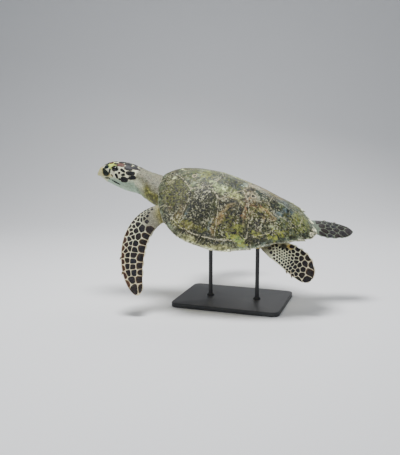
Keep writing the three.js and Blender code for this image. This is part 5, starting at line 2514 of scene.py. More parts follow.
    def bone(self) -> Shape:
        """Make the smooth shell under the plates, with its pale underside.

        Returns:
            The closed shell.
        """
        places = [(k, share) for k in range(SHELL.marginals) for share in (0.02, 0.3, 0.6, 0.95)]
        base = SHELL.margin(np.array([SHELL.marginal(k + share) for k, share in places]))
        reach = np.array([float(SHELL.tooth(k, share)) - self.bone_inset for k, share in places])
        half = base + unit(base) * reach[:, None]
        ring = np.concatenate([half, half[::-1] * [1, -1]])
        shares = np.array([*np.linspace(0.06, 0.96, 22), 1.0])
        x, y = (ring[None] * shares[:, None, None]).reshape(-1, 2).T
        under = SHELL.under(x, y)
        over = np.maximum(SHELL.outer(x, y) - self.bone_depth, under + 0.3)
        body = plated(x, y, over, under, len(ring))
        points = body.points
        level = SHELL.outer(points[:, 0], points[:, 1])
        pale = smooth(-2.5, -3.4, points[:, 2] - level)
        colour = washed(tint(self.bone_colour), (self.bone_under, pale))
        return body.tinted(colour * (1 + 0.1 * noise(points, 30, 95))[:, None])

    def barnacles(self) -> Shape:
        """Make the rings that old barnacles left.

        Returns:
            All the rings as one.
        """
        profile = np.array(self.ring)
        angle = circle(26)
        made = []
        for order, (t, s, radius) in enumerate(self.scars):
            centre = SHELL.plan(t, s)
            wobble = 1 + 0.13 * np.sin(3 * angle + order) + 0.07 * np.sin(7 * angle)
            rings = []
            for out, rise in profile:
                x = centre[0] + radius * out * wobble * np.cos(angle)
                y = centre[1] + radius * 0.85 * out * wobble * np.sin(angle)
                rings.append(np.column_stack([x, y, SHELL.outer(x, y) + rise + 0.6]))
            body = loft(np.array(rings))
            out = np.concatenate([np.repeat(profile[:, 0], len(angle)), [1.3, 0.2]])
            chalk = smooth(0.7, 0.8, out) * smooth(1.08, 0.98, out)
            made.append(body.tinted(washed(tint(self.scar_colour), (self.chalk, chalk))))
        return joined(made)

    def build(self) -> None:
        """Make the shell's pieces."""
        plates = Tortoiseshell().make()
        for name, shape in self.groups().items():
            finish_piece(mesh_object(name, shape), plates)
        bone = HornScale("Carapace bone and scar tissue", 16.0, "cfc6a4", 0.5).make()
        finish_piece(mesh_object("carapace_bone", self.bone()), bone, ["carapace"])
        finish_piece(mesh_object("barnacle_scars", self.barnacles()), bone)


# ---------- the head's horn and eyes ----------


@dataclass(frozen=True)
class HeadScale:
    """A head scale: its middle and size, its tilt, and its colour. The left one is given."""

    along: float
    left: float
    up: float
    length: float  # mm
    width: float  # mm
    tilt: float = 0.0  # degrees, its rear end up
    code: str = "121419"


HEAD_SCALES = tuple(HeadScale(*row) for row in (
    # Crown, from the beak back.
    (0.85, 0.038, 0.157, 14, 11, 0, "16181b"), (0.785, 0.06, 0.187, 17, 17, 0, "15171b"),
    (0.8, 0.118, 0.118, 24, 17, 0, "1a2428"), (0.7, 0.07, 0.225, 18, 19, 0, "45211b"),
    (0.62, 0.0, 0.26, 17, 17, 0, "2b2120"), (0.582, 0.125, 0.226, 22, 11, 0, "2a2822"),
    (0.46, 0.0, 0.275, 30, 37, 0, "17181b"), (0.463, 0.158, 0.228, 35, 24, 0, "5a382c"),
    (0.3, 0.09, 0.267, 31, 30, 0, "1c1e22"), (0.15, 0.0, 0.258, 24, 28, 0, "1f2125"),
    (0.262, 0.2, 0.19, 36, 26, 2, "1b1c21"), (0.118, 0.14, 0.212, 27, 22, 8, "1a1b1f"),
    (0.02, 0.05, 0.23, 13, 12, 0, "3d3936"), (0.02, 0.15, 0.2, 12, 12, 0, "3d3936"),
    # Behind and under the eye.
    (0.382, 0.259, 0.122, 24, 12, -26), (0.456, 0.27, 0.055, 10, 10),
    (0.352, 0.287, 0.03, 17, 11, 16),
    (0.51, 0.262, -0.028, 24, 11, -58), (0.191, 0.267, 0.09, 39, 18, 8),
    (0.133, 0.279, -0.006, 31, 17, 18),
    (0.315, 0.292, -0.078, 30, 25, 4), (0.42, 0.275, -0.086, 12, 9, 0, "1c1e22"),
    (0.225, 0.288, -0.04, 9, 7, 0, "2a2c2c"), (0.636, 0.222, -0.05, 14, 10, -30, "1d1c1f"),
    (0.693, 0.18, 0.05, 10, 21, 0, "23282a"),
    # Along the jaw.
    (0.72, 0.177, -0.118, 22, 7, -16), (0.499, 0.231, -0.19, 33, 9, -8),
    (0.6, 0.205, -0.155, 11, 5, -6, "2a2c2a"),
))


@dataclass
class HeadScales:
    """The head's horny scales, each pressed to the skin."""

    surface: SkinSurface
    profile: PlateProfile = PlateProfile(
        24, rings=((1.0, 0.15), (0.94, 0.45), (0.72, 0.6), (0.4, 0.68)), crown=0.7
    )
    brown: str = "4a4036"  # round each scale's edge

    def plate(self, scale: HeadScale, side: int, order: int) -> Shape:
        """Raise one scale on one side, as a closed plate with its values.

        Args:
            scale: The scale.
            side: 1 for the left, -1 for the right.
            order: Its number, for its own outline.

        Returns:
            The plate.
        """
        spot = HEAD.point([scale.along, scale.left * side, scale.up])
        middle, normal, _, _ = self.surface.tree.find_nearest(spot.tolist())
        middle, normal = np.array(middle), np.array(normal)
        beak, left, crown = HEAD.axes().T
        ahead = unit(beak - normal * (beak @ normal))
        across = np.cross(normal, ahead)
        across *= np.sign(across @ crown + 0.5 * across @ left * side)
        lean = math.radians(scale.tilt)
        angle = 2 * np.pi * np.arange(self.profile.sides) / self.profile.sides
        wobble = 1 + 0.05 * np.sin(2 * angle + order) + 0.05 * np.sin(3 * angle + 2.1 * order)
        squared = (np.abs(np.cos(angle)) ** 3 + np.abs(np.sin(angle)) ** 3) ** (-1 / 3)
        x = scale.length / 2 * squared * wobble * np.cos(angle)
        y = scale.width / 2 * squared * wobble * np.sin(angle)
        u = x * math.cos(lean) + y * math.sin(lean)
        v = y * math.cos(lean) - x * math.sin(lean)
        share, high = self.profile.levels()
        rings = len(self.profile.rings) + 1
        u, v = (np.concatenate([np.tile(w, rings), [0, 0]]) * share for w in (u, v))
        flat = middle + u[:, None] * ahead + v[:, None] * across
        placed = self.surface.nearest(flat) + normal * high[:, None]
        shade = washed(tint(scale.code), (self.brown, 0.55 * smooth(0.75, 1, share)))
        corner = np.array([0.1 + 0.8 * scale.along, 0.5 + side * (0.12 + 0.9 * scale.left)])
        spin = np.concatenate([np.tile(angle, rings), [0, 0]])
        patch = corner + PATCH * share[:, None] * spun(spin)
        return Shape(placed, self.profile.faces(), {"Tint": shade, "OFBake": patch})

    def build(self) -> Piece:
        """Make every scale of both sides as one piece.

        Returns:
            The piece, not yet dressed.
        """
        plates = []
        for order, scale in enumerate(HEAD_SCALES):
            for side in (1, -1) if scale.left else (1,):
                plates.append(self.plate(scale, side, order + 40 * (side < 0)))
        return mesh_object("scales_head", joined(plates))


@dataclass
class Beak:
    """The hooked beak: an upper and a lower horn sheath over the jaws."""

    upper_grown: float = 1.5  # mm over the flesh
    lower_grown: float = 0.9
    thick: float = 2.0
    gap: float = 0.0035  # between the two, in head lengths
    mouth: Line = ((0.6, -0.078), (0.76, -0.09), (0.88, -0.1), (0.95, -0.112), (1.1, -0.16))
    brow: Line = ((0.6, -0.078), (0.7, -0.005), (0.8, 0.055), (0.89, 0.085), (1.1, 0.06))
    chin: Line = ((-0.42, 0.84), (-0.07, 0.67))
    hook: tuple[float, float] = (2.6, 3.6)  # how far the tip is drawn out, ahead and down, mm
    ridge: float = 1.0  # how high the upper sheath's ridge stands, mm
    pit: Line = ((1.3, -1.0), (1.25, 0.05), (1.0, 0.5), (0.8, 0.35), (0.6, 0.15))
    horn: str = "cfc88f"
    pale_horn: str = "dcd6a4"
    tip: str = "a59a4e"
    plate_edge: str = "8a7a4a"
    plate: str = "16211f"
    lower_horn: str = "c9cba2"
    chin_horn: str = "b3b78a"
    streak: str = "1b1d20"
    # Painted shade standing in for the nostrils' openings.
    nostril_shade: str = "0f0e0d"
    pit_rim: str = "b9b08a"

    def over(self, a: Array, line: Line) -> Array:
        """Give a line's height over places along the head."""
        return np.interp(a, *np.array(line).T)

    def upper(self, places: Array) -> Array:
        """Give how far inside the upper sheath's outline places of the head lie."""
        a, _, up = places.T
        return np.minimum(up - self.over(a, self.mouth) - self.gap, self.over(a, self.brow) - up)

    def lower(self, places: Array) -> Array:
        """Give how far inside the lower sheath's outline places of the head lie."""
        a, _, up = places.T
        return np.minimum(self.over(a, self.mouth) - self.gap - up, a - self.over(up, self.chin))

    def jaw(self, grown: float) -> Shape:
        """Make the snout's surface, grown outward a little, finely divided.

        Args:
            grown: How far over the flesh, mm.

        Returns:
            The closed surface.
        """
        t = np.concatenate([np.linspace(0.58, 0.93, 90), np.linspace(0.934, 0.998, 34)])
        more = grown / HEAD.length
        half, top, bottom = HEAD.half(t) + more, HEAD.top(t) + more, HEAD.bottom(t) + more
        axes = HEAD.axes()
        at = HEAD.point(np.stack([t + more * smooth(0.9, 1, t), 0 * t, (top - bottom) / 2], axis=1))
        rise = (top + bottom) / 2 * HEAD.length
        half = half * HEAD.length
        return loft(section(at, -axes[:, 1], axes[:, 2], half, rise, rise, HEAD.power, 200))

    def hooked(self, points: Array) -> Array:
        """Draw the upper sheath's tip out into a hook, and raise a low ridge along its middle.

        Args:
            points: The sheath's points.

        Returns:
            The points, moved.
        """
        axes = HEAD.axes()
        a, side, up = HEAD.local(points).T
        low = smooth(0.87, 1.0, a) * smooth(0.05, -0.08, up)
        drawn = axes[:, 0] * self.hook[0] - axes[:, 2] * self.hook[1]
        narrowed = -0.22 * side * HEAD.length * low
        keeled = self.ridge * np.exp(-((side / 0.02) ** 2)) * smooth(-0.06, 0.03, up)
        out = unit(0.75 * axes[:, 0] + 0.65 * axes[:, 2])
        moved = low[:, None] * drawn
        return points + moved + narrowed[:, None] * axes[:, 1] + keeled[:, None] * out

    def sheath(self, name: str, grown: float, inside: Callable[[Array], Array]) -> Piece:
        """Cut one sheath from the snout's surface and thicken it.

        Args:
            name: The piece's name.
            grown: How far it stands over the flesh, mm.
            inside: How far inside its outline places of the head lie.

        Returns:
            The closed piece.
        """
        jaw = self.jaw(grown)
        value = inside(HEAD.local(jaw.points))
        points = list(jaw.points)
        cuts: dict[tuple[int, int], int] = {}
        faces = []
        for face in jaw.faces:
            kept = []
            for a, b in zip(face, [*face[1:], face[0]]):
                if value[a] >= 0:
                    kept.append(a)
                if (value[a] >= 0) != (value[b] >= 0):
                    key = (min(a, b), max(a, b))
                    if key not in cuts:
                        share = value[key[0]] / (value[key[0]] - value[key[1]])
                        cuts[key] = len(points)
                        points.append(points[key[0]] + (points[key[1]] - points[key[0]]) * share)
                    kept.append(cuts[key])
            if len(kept) > 2:
                faces.append(kept)
        used, back = np.unique(np.concatenate([np.array(f) for f in faces]), return_inverse=True)
        starts = np.cumsum([0] + [len(f) for f in faces])
        faces = [back[a:b].tolist() for a, b in zip(starts, starts[1:])]
        shape = Shape(np.array(points)[used], faces)
        if inside == self.upper:
            shape.points = self.hooked(shape.points)
        piece = mesh_object(name, shape)
        outward = read(piece.data.vertex_normals, "vector", 3).astype(float) @ POSE.turned
        if np.sum(outward * (shape.points - HEAD.point([0.75, 0, 0]))) < 0:
            piece.data.flip_normals()
        with_modifier(piece, "SOLIDIFY", thickness=self.thick * MM, offset=-1.0)
        store(piece.data, {"Tint": self.tints(POSE.body(points_of(piece.data)))})
        piece.data.set_sharp_from_angle(angle=math.radians(50))
        return piece

    def tints(self, points: Array) -> Array:
        """Colour the beak: cream and yellow, with a dark plate on each side and brown streaks.

        Args:
            points: The sheath's points.

        Returns:
            N by 3 linear colours.
        """
        a, side, up = HEAD.local(points).T
        wander = 0.012 * noise(points, 9, 52)
        plate = np.hypot((a + wander - 0.785) / 0.1, (up + wander - 0.022) / 0.115)
        upper = washed(
            tint(self.horn),
            (self.pale_horn, noise(points, 12, 51) * 0.5 + 0.5),
            (self.tip, 0.6 * smooth(0.9, 0.99, a) * smooth(-0.02, 0.05, up)),
            (self.plate_edge, smooth(1.22, 1.02, plate)),
            (self.plate, smooth(1.02, 0.86, plate)),
        )
        streak = np.hypot((a - 0.75) / 0.07, (up + 0.128 + 0.2 * (a - 0.75)) / 0.02)
        lower = washed(
            tint(self.lower_horn),
            (self.chin_horn, smooth(-0.1, -0.3, up)),
            (self.streak, smooth(1.15, 0.8, streak)),
        )
        return np.where((up < self.over(a, self.mouth))[:, None], lower, upper)

    def nostrils(self, surface: SkinSurface) -> Shape:
        """Make the two nostrils: low rims round shallow pits painted near-black as painted shade,
        on the snout's top.

        Args:
            surface: The finished skin.

        Returns:
            Both as one.
        """
        axes = HEAD.axes()
        angle = circle(18)
        shares, rises = np.array(self.pit).T
        made = []
        for side in (1, -1):
            out = unit(axes @ np.array([0.62, 0.3 * side, 0.72]))
            spot, normal = surface.hit(HEAD.point([0.9, 0.042 * side, 0.1]) + 20 * out, -out)
            ahead = unit(np.cross(normal, axes[:, 1]))
            beside = np.cross(normal, ahead)
            flat = 4.2 * ahead * np.cos(angle)[:, None] + 2.8 * beside * np.sin(angle)[:, None]
            body = loft(spot + flat * shares[:, None, None] + normal * rises[:, None, None])
            share = np.concatenate([np.repeat(shares, len(angle)), [1.2, 0.2]])
            rim = smooth(0.75, 1.0, share)
            # The pits are painted near-black, as the shade inside an opening.
            made.append(body.tinted(washed(tint(self.nostril_shade), (self.pit_rim, rim))))
        return joined(made)

    def build(self, surface: SkinSurface) -> None:
        """Make both sheaths and the nostrils.

        Args:
            surface: The finished skin.
        """
        horn = HornScale("Beak horn", 5.0, "d9d3a6", 0.3).make()
        finish_piece(mesh_object("nostrils", self.nostrils(surface)), horn)
        for name, grown, inside in (
            ("beak_upper_sheath", self.upper_grown, self.upper),
            ("beak_lower_sheath", self.lower_grown, self.lower),
        ):
            node = name.removesuffix("_sheath")
            finish_piece(self.sheath(name, grown, inside), horn, [node])


@dataclass
class Eyes:
    """Dark wet eyes, deep between their lids."""

    pupil: float = 19.0  # degrees from the gaze
    iris: float = 37.0
    iris_colour: str = "2a1d14"
    fibre: str = "0d0b0a"
    black: str = "020203"
    white: str = "141210"  # nearly black too, as the species' is

    def ball(self, side: int) -> Shape:
        """Make one eyeball, a little bulged over its iris.

        Args:
            side: 1 for the left, -1 for the right.

        Returns:
            The closed ball.
        """
        middle, axes = Lids(side).frame()
        polar = np.radians(np.concatenate([np.linspace(0.8, 60, 40), np.linspace(65, 178, 20)]))
        angle = circle(48)
        bulge = EYE.radius + 0.5 * smooth(0.75, 0.3, polar)
        out = np.cos(polar)[:, None, None] * axes[2]
        flat = np.cos(angle)[:, None] * axes[0] + np.sin(angle)[:, None] * axes[1]
        body = loft(middle + bulge[:, None, None] * (out + np.sin(polar)[:, None, None] * flat))
        away = body.points - middle
        turned = np.degrees(np.arccos(np.clip(unit(away) @ axes[2], -1, 1)))
        around = np.arctan2(away @ axes[1], away @ axes[0])
        fibres = 0.5 + 0.5 * np.sin(around * 23 + 2 * np.sin(around * 7))
        return body.tinted(washed(
            tint(self.iris_colour),
            (self.fibre, 0.5 + 0.5 * fibres),
            (self.black, smooth(self.pupil + 1.5, self.pupil - 0.5, turned)),
            (self.white, smooth(self.iris - 2, self.iris + 2, turned)),
        ))

    def build(self) -> None:
        """Make both eyes."""
        n = Nodes("Wet eye")
        painted = n.add("Attribute", output="Color", attribute_name="Tint")
        wet = n.shader({
            "Base Color": painted, "Roughness": 0.22, "IOR": 1.376, "Coat Weight": 1.0,
            "Coat Roughness": 0.02, "Coat IOR": 1.336,
        })
        for side, name in ((1, "left"), (-1, "right")):
            eyeball = mesh_object(f"eyeball_{name}", self.ball(side))
            finish_piece(eyeball, wet, [f"eye_{name}"])


# ---------- claws, belly plate and stand ----------


@dataclass
class Claws:
    """The two claws on the leading edge of each flipper, curved a little toward its tip."""

    radius: float = 4.0
    length: float = 12.5
    sunk: float = 4.0
    slant: float = 0.75
    front: tuple[float, float] = (0.66, 0.78)
    hind: tuple[float, float] = (0.62, 0.76)
    root: str = "5b4f3d"
    tip: str = "cbbf98"

    def claw(self, flipper: Flipper, t: float) -> Shape:
        """Make one claw at a share of the flipper's span.

        Args:
            flipper: The flipper.
            t: The share.

        Returns:
            The closed claw.
        """
        place, along, chord, _ = (row[0] for row in flipper.frame(np.array([t])))
        start = place + chord * float(flipper.blade.lead(np.array(t)))
        axis = unit(chord * self.slant + along)
        bend = unit(along - axis * (along @ axis))
        side = np.cross(axis, bend)
        share = np.concatenate([np.linspace(0, 0.9, 12), [0.96, 0.99]])
        girth = self.radius * (1 - share**1.4) ** 0.8
        run = -self.sunk + self.length * share
        middle = start + run[:, None] * axis + (1.6 * share**2)[:, None] * bend
        angle = circle(20)
        ring = np.cos(angle)[:, None] * bend + 0.8 * np.sin(angle)[:, None] * side
        body = loft(middle[:, None] + girth[:, None, None] * ring)
        ends = np.concatenate([np.repeat(share, len(angle)), [0, 1]])
        return body.tinted(washed(tint(self.root), (self.tip, smooth(0.35, 0.9, ends))))

    def build(self) -> None:
        """Make all eight claws."""
        horn = HornScale("Claw horn", 4.0, "c9bd97", 0.34).make()
        for flipper in FLIPPERS:
            spans = self.front if flipper.blade is FRONT_BLADE else self.hind
            for order, t in enumerate(spans, 1):
                node = f"claw_{flipper.name}_{order}"
                piece = mesh_object(f"{node}_horn", self.claw(flipper, t))
                finish_piece(piece, horn, [node])


@dataclass
class Belly:
    """The plastron: paired pale plates over a smooth base, with a row of bridge plates beside."""

    cuts: tuple[float, ...] = (-243, -196, -120, -30, 70, 150, 233)
    bridge: tuple[float, ...] = (-128, -75, -20, 35, 88)
    inner_share: float = 0.63  # of the half-width, where the bridge plates start
    outer_share: float = 0.97  # of the half-width, where the other plates end
    gap: float = 1.1
    rise: float = 1.3
    seam: str = "a08f5e"  # the base, which shows between the plates
    horn: str = "d6c98e"
    smear: str = "8f8158"
    worn: str = "b49f63"

    def outline(self) -> Array:
        """Give the plastron's outline in the plan."""
        return outline_of((np.arange(180) + 0.5) / 180 * 2 * np.pi, 400.0, PLASTRON.covers)

    def base(self) -> Shape:
        """Make the base plate.

        Returns:
            The closed plate.
        """
        ring = self.outline()
        x, y = (ring[None] * np.linspace(0.08, 1, 14)[:, None, None]).reshape(-1, 2).T
        under = self.held(x, y, PLASTRON.under(x, y) + 0.3, 1.5)
        over = self.held(x, y, under + PLASTRON.thickness - 0.6, 0.9)
        body = plated(x, y, over, under, len(ring))
        return body.tinted(np.tile(tint(self.seam), (len(body.points), 1)))

    def held(self, x: Array, y: Array, z: Array, clear: float) -> Array:
        """Keep heights under the carapace's lower face."""
        return np.minimum(z, SHELL.under(x, y) - clear)

    def corners(self, start: float, end: float, low: float, high: float, side: int) -> Array:
        """Give a plate's outline between two cuts and two shares of the half-width.

        Args:
            start: The front cut, mm.
            end: The rear cut, mm.
            low: The inner share.
            high: The outer share.
            side: 1 for the right, -1 for the left.

        Returns:
            N by 2 points of the plan.
        """
        x = np.linspace(start + self.gap, end - self.gap, 12)
        half = PLASTRON.half(x)
        inner, outer = np.maximum(half * low + self.gap, self.gap), half * high - self.gap
        edges = [np.stack([x, inner], 1), np.stack([x, outer], 1)[::-1]]
        return np.concatenate(edges) * [1, side]

    def plate(self, corners: Array) -> Shape:
        """Raise one plate, downward, over its outline.

        Args:
            corners: N by 2 points of the plan.

        Returns:
            The closed plate.
        """
        count = 56
        ring = rounded(corners, count, 2)
        middle = ring.mean(0)
        shares = np.array([1, 1, 0.985, 0.95, 0.85, 0.68, 0.5, 0.32, 0.14])
        rises = np.array([-0.8, 0.5, 0.9, 1.1, 1.2, 1.3, 1.3, 1.3, 1.3]) * self.rise / 1.3
        x, y = (middle + (ring - middle)[None] * shares[:, None, None]).reshape(-1, 2).T
        z = self.held(x, y, PLASTRON.under(x, y), 1.5) - np.repeat(rises, count)
        body = loft(np.column_stack([x, y, z]).reshape(len(shares), count, 3))
        points = body.points
        share = np.concatenate([np.repeat(shares, count), [0, 0]])
        points[-2, 2] = min(PLASTRON.under(*middle) + 0.8, points[:count, 2].max())
        smear = smooth(0.25, 0.75, noise(points, 26, 61))
        worn = 0.7 * smooth(0.86, 1, share)
        return body.tinted(washed(tint(self.horn), (self.smear, 0.55 * smear), (self.worn, worn)))

    def build(self) -> None:
        """Make the base and its plates."""
        horn = HornScale("Plastron horn", 18.0, "e0d6a8", 0.42).make()
        finish_piece(mesh_object("plastron_base", self.base()), horn, ["plastron"])
        plates = []
        for side in (1, -1):
            for start, end in zip(self.cuts, self.cuts[1:]):
                bridged = self.bridge[0] - 12 < (start + end) / 2 < self.bridge[-1] + 12
                high = self.inner_share if bridged else self.outer_share
                plates.append(self.plate(self.corners(start, end, 0.0, high, side)))
            for start, end in zip(self.bridge, self.bridge[1:]):
                plates.append(self.plate(self.corners(start, end, self.inner_share, 0.98, side)))
        finish_piece(mesh_object("plastron_plates", joined(plates)), horn)


@dataclass
class Stand:
    """The display stand: a heavy base plate and two rods in turned feet."""

    corner: float = 28.0
    edge: float = 2.5
    foot: Line = ((15, 0), (15, 2.2), (14.6, 3), (10.5, 7.6), (8.4, 10.5), (8, 12))
    coat: str = "26272a"
    grain: float = 0.9  # mm between the coat's dimples

    def box(self, node: str) -> tuple[Array, Array, Array]:
        """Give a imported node's low and high corners and its middle in the plan, in mm."""
        low, high = (np.array(v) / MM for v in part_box(node))
        return low, high, (high + low)[:2] / 2

    def raised(self, rings: Iterable[Array], levels: Iterable[float]) -> Shape:
        """Close a body through flat rings at their levels.

        Args:
            rings: Flat rings of points, in mm.
            levels: Their heights, mm.

        Returns:
            The closed body in the turtle's frame.
        """
        made = [
            np.column_stack([flat, np.full(len(flat), level)]) for flat, level in zip(rings, levels)
        ]
        body = loft(np.array(made))
        return Shape(POSE.body(body.points * MM), body.faces)

    def slab(self) -> Shape:
        """Make the base with rounded corners and eased edges.

        Returns:
            The closed base.
        """
        low, high, middle = self.box("stand_base")
        half = (high - low)[:2] / 2
        quarter, ease = np.linspace(0, np.pi / 2, 10), np.linspace(0, np.pi / 2, 5)
        out, up = self.edge * (1 - np.sin(ease)), self.edge * (1 - np.cos(ease))
        rings = []
        for inset in (*out, *up):
            ring = []
            for turned, corner in enumerate(((1, 1), (-1, 1), (-1, -1), (1, -1))):
                centre = middle + (half - self.corner) * corner
                ring.append(centre + (self.corner - inset) * spun(quarter + turned * np.pi / 2))
            rings.append(np.concatenate(ring))
        return self.raised(rings, (*(low[2] + up), *(high[2] - out)))

    def rod(self, node: str) -> Shape:
        """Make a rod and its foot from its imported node's box.

        Args:
            node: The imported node.

        Returns:
            The closed rod.
        """
        low, high, middle = self.box(node)
        radii, rises = zip(*self.foot, (self.foot[-1][0], high[2] - low[2]))
        return self.raised((middle + r * spun(circle(40)) for r in radii), low[2] + np.array(rises))

    def build(self) -> None:
        """Make the stand's pieces, all under one dark powder coat."""
        n = Nodes("Powder-coated steel")
        place = n.add("TexCoord", output="Object")
        orange_peel = n.add("TexNoise", {
            "Vector": place, "Scale": 1 / (self.grain * MM), "Detail": 2.0,
        })
        normal = n.add("Bump", {"Height": orange_peel, "Distance": 0.02 * MM})
        steel = n.shader({"Base Color": linear(self.coat), "Roughness": 0.48, "Normal": normal})
        rods = {node: self.rod(node) for node in ("stand_rod_front", "stand_rod_rear")}
        for node, shape in {"stand_base": self.slab(), **rods}.items():
            piece = mesh_object(f"{node}_steel", shape)
            piece.data.set_sharp_from_angle(angle=math.radians(40))
            finish_piece(piece, steel, [node])


# ---------- small scales ----------


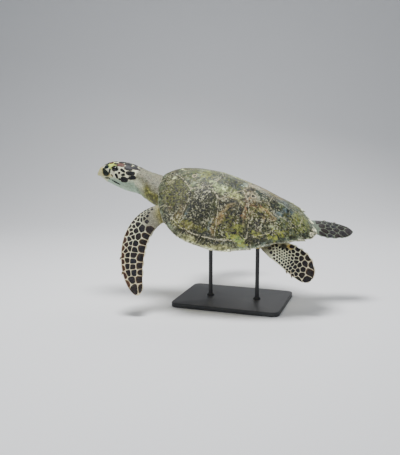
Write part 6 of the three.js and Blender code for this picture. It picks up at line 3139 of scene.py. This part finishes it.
@dataclass
class Granules:
    """The small bead-like scales of the neck, the shoulders and the limbs' roots."""

    skin: Piece
    flesh: Flesh
    plates: Sequence[Piece]  # larger scales, which the beads keep clear of
    clear: float = 1.7  # mm
    spacing: float = 4.4  # mm
    radius: float = 1.95
    height: float = 1.2
    sides: int = 7
    sunk: float = 0.45
    crown: float = 0.55  # of the radius
    sizes: tuple[float, float] = (0.72, 1.22)  # the least and the most, of the radius
    density: float = 9e4  # beads to the square metre, more than the spacing lets in
    dark_share: float = 0.26  # of the beads
    dark: float = 0.42  # of the skin's own colour
    bright: tuple[float, float] = (0.9, 1.45)  # of the skin's own colour, for the others

    def share(self, points: Array, parts: Array, along: Array) -> Array:
        """Give how thickly the beads lie at places of the skin, 0 to 1.

        Args:
            points: N by 3 places in the turtle's frame.
            parts: Each one's part of the flesh.
            along: Each one's share along its part.

        Returns:
            A share for each place.
        """
        a = HEAD.local(points)[:, 0]
        neck, head = smooth(0.12, 0.0, a), smooth(0.06, -0.02, a)
        front, hind = smooth(0.34, 0.26, along), smooth(0.22, 0.12, along)
        thick = np.choose(parts, (neck, neck, head, neck, front, front, hind, hind))  # as in Part
        x, y, _ = points.T
        hidden = (SHELL.radial(x, y) < 0.8) | (np.abs(x) < 120)
        thick = np.where(hidden, 0, thick)
        for plates in self.plates:
            over = SkinSurface(plates)
            near = np.flatnonzero(thick > 0)
            away = np.array([over.tree.find_nearest(p)[3] for p in points[near].tolist()])
            thick[near] *= away > self.clear
        return thick

    def tree(self, material: Finish) -> bpy.types.NodeTree:
        """Build the node tree that scatters the beads.

        Args:
            material: The beads' finish.

        Returns:
            The tree, with its inputs named.
        """
        tree = bpy.data.node_groups.new("Granular scales", "GeometryNodeTree")
        kinds = {"Geometry": "Geometry", "Spacing": "Float", "Radius": "Float", "Height": "Float"}
        for name, kind in (kinds | {"Sides": "Int", "Seed": "Int"}).items():
            tree.interface.new_socket(name, in_out="INPUT", socket_type=f"NodeSocket{kind}")
        tree.interface.new_socket("Geometry", in_out="OUTPUT", socket_type="NodeSocketGeometry")
        add = functools.partial(add_node, tree)
        given = add("NodeGroupInput", {}).outputs
        thick = add("GeometryNodeInputNamedAttribute", {"Name": "Thick"}, data_type="FLOAT")
        spread = add("GeometryNodeDistributePointsOnFaces", {
            "Mesh": given["Geometry"], "Distance Min": given["Spacing"],
            "Density Max": self.density,
            "Density Factor": thick.outputs["Attribute"], "Seed": given["Seed"],
        }, distribute_method="POISSON")
        top = add("ShaderNodeMath", {0: given["Radius"], 1: self.crown}, operation="MULTIPLY")
        bead = add("GeometryNodeMeshCone", {
            "Vertices": given["Sides"], "Side Segments": 1, "Fill Segments": 1,
            "Radius Top": top.outputs[0], "Radius Bottom": given["Radius"],
            "Depth": given["Height"],
        })
        size = add("FunctionNodeRandomValue", {
            2: self.sizes[0], 3: self.sizes[1], "Seed": given["Seed"],
        }, data_type="FLOAT")
        placed = add("GeometryNodeInstanceOnPoints", {
            "Points": spread.outputs["Points"], "Instance": bead.outputs["Mesh"],
            "Rotation": spread.outputs["Rotation"], "Scale": size.outputs[1],
        })
        real = add("GeometryNodeRealizeInstances", {"Geometry": placed.outputs["Instances"]})
        dressed = add("GeometryNodeSetMaterial", {
            "Geometry": real.outputs["Geometry"], "Material": material,
        })
        add("NodeGroupOutput", {"Geometry": dressed.outputs["Geometry"]})
        return tree

    def build(self, material: Finish) -> Piece:
        """Scatter the beads over the skin and make them a plain mesh with tints and bake patches.

        Args:
            material: The beads' finish.

        Returns:
            The piece, not yet set on its body.
        """
        places = POSE.body(points_of(self.skin.data))
        parts, along, _ = self.flesh.find(places)
        mesh = self.skin.data.copy()
        store(mesh, {"Thick": self.share(places, parts, along)})
        piece = linked("scales_granular", mesh)
        modifier = piece.modifiers.new("Beads", "NODES")
        modifier.node_group = self.tree(material)
        values = {
            "Spacing": self.spacing * MM, "Radius": self.radius * MM, "Height": self.height * MM,
            "Sides": self.sides, "Seed": SEED,
        }
        for socket in modifier.node_group.interface.items_tree:
            if socket.in_out == "INPUT" and socket.name in values:
                modifier[socket.identifier] = values[socket.name]
        applied(piece, modifier)
        made = piece.data
        for layer in list(made.uv_layers):
            made.uv_layers.remove(layer)
        for name in ("Tint", "Thick", "UVMap"):
            if name in made.attributes:
                made.attributes.remove(made.attributes[name])
        self.dress(made)
        return piece

    def dress(self, mesh: bpy.types.Mesh) -> None:
        """Sink each bead a little, round it and give it its tint and its bake patch.

        Args:
            mesh: The beads' mesh.
        """
        own = 2 * self.sides
        points = POSE.body(points_of(mesh)).reshape(-1, own, 3)
        level = points.mean(1)
        root = points[:, : self.sides].mean(1)
        crown = points[:, self.sides:].mean(1)
        if np.linalg.norm(points[0, : self.sides] - root[0], axis=1).mean() < self.radius * 0.7:
            root, crown = crown, root
        axis = unit(crown - root)
        points -= self.sunk * axis[:, None]
        move_points(mesh, POSE.world(points.reshape(-1, 3)))
        parts, along, angle = self.flesh.find(level)
        colour = Markings().paint(level, parts, along, angle)
        random = np.random.default_rng(SEED)
        dark = random.random(len(level)) < self.dark_share
        vary = np.where(dark, self.dark, random.uniform(*self.bright, len(level)))
        colour = np.clip(colour * vary[:, None], 0, 1)
        u = (parts + np.clip(along, 0.02, 0.98)) / len(Part)
        v = 0.5 + 0.48 * np.arctan2(np.sin(angle), np.cos(angle)) / np.pi
        flat = points - root[:, None]
        across = unit(np.cross(axis, np.array([0.3, 0.2, 1.0])))
        beside = np.cross(axis, across)
        lobe = np.stack([np.sum(flat * d[:, None], 2) for d in (across, beside)], axis=2)
        lobe = lobe / self.radius
        patch = np.stack([u, v], axis=1)[:, None] + 0.0012 * lobe
        store(mesh, {"Tint": np.repeat(colour, own, axis=0), "OFBake": patch.reshape(-1, 2)})
        mesh.shade_smooth()


def main() -> None:
    """Build the pieces in order."""
    logging.basicConfig(level=logging.INFO, format="%(name)s: %(message)s")
    Studio().build()
    flesh = Flesh()
    skin = flesh.build()
    places = POSE.body(points_of(skin.data))
    parts, along, angle = flesh.find(places)
    beaded = Granules(skin, flesh, []).share(places, parts, along)
    # Where the beads lie, the skin is painted 30% darker: painted shade in the gaps between the
    # beads.
    colour = Markings().paint(places, parts, along, angle) * (1 - 0.3 * beaded[:, None])
    store(skin.data, {"Tint": colour})
    replaced = ["trunk", "neck", "head", "tail", *FLIPPER_NODES]
    finish_piece(skin, ReptileSkin().make(), replaced)
    surface = SkinSurface(skin)
    Carapace().build()
    Belly().build()
    Beak().build(surface)
    for group in (Eyes, Claws, Stand):
        group().build()
    horn = HornScale().make()
    plates = []
    for flipper, cover in zip(FLIPPERS, COVERS):
        plates.append(BladeScales(flipper, surface, cover).build())
        finish_piece(plates[-1], horn)
    plates.append(HeadScales(surface).build())
    finish_piece(plates[-1], horn)
    beads = ReptileSkin("Granular scales", 2.6, 11.0).make()
    finish_piece(Granules(skin, flesh, plates).build(beads), beads)


if __name__ == "__main__":
    main()
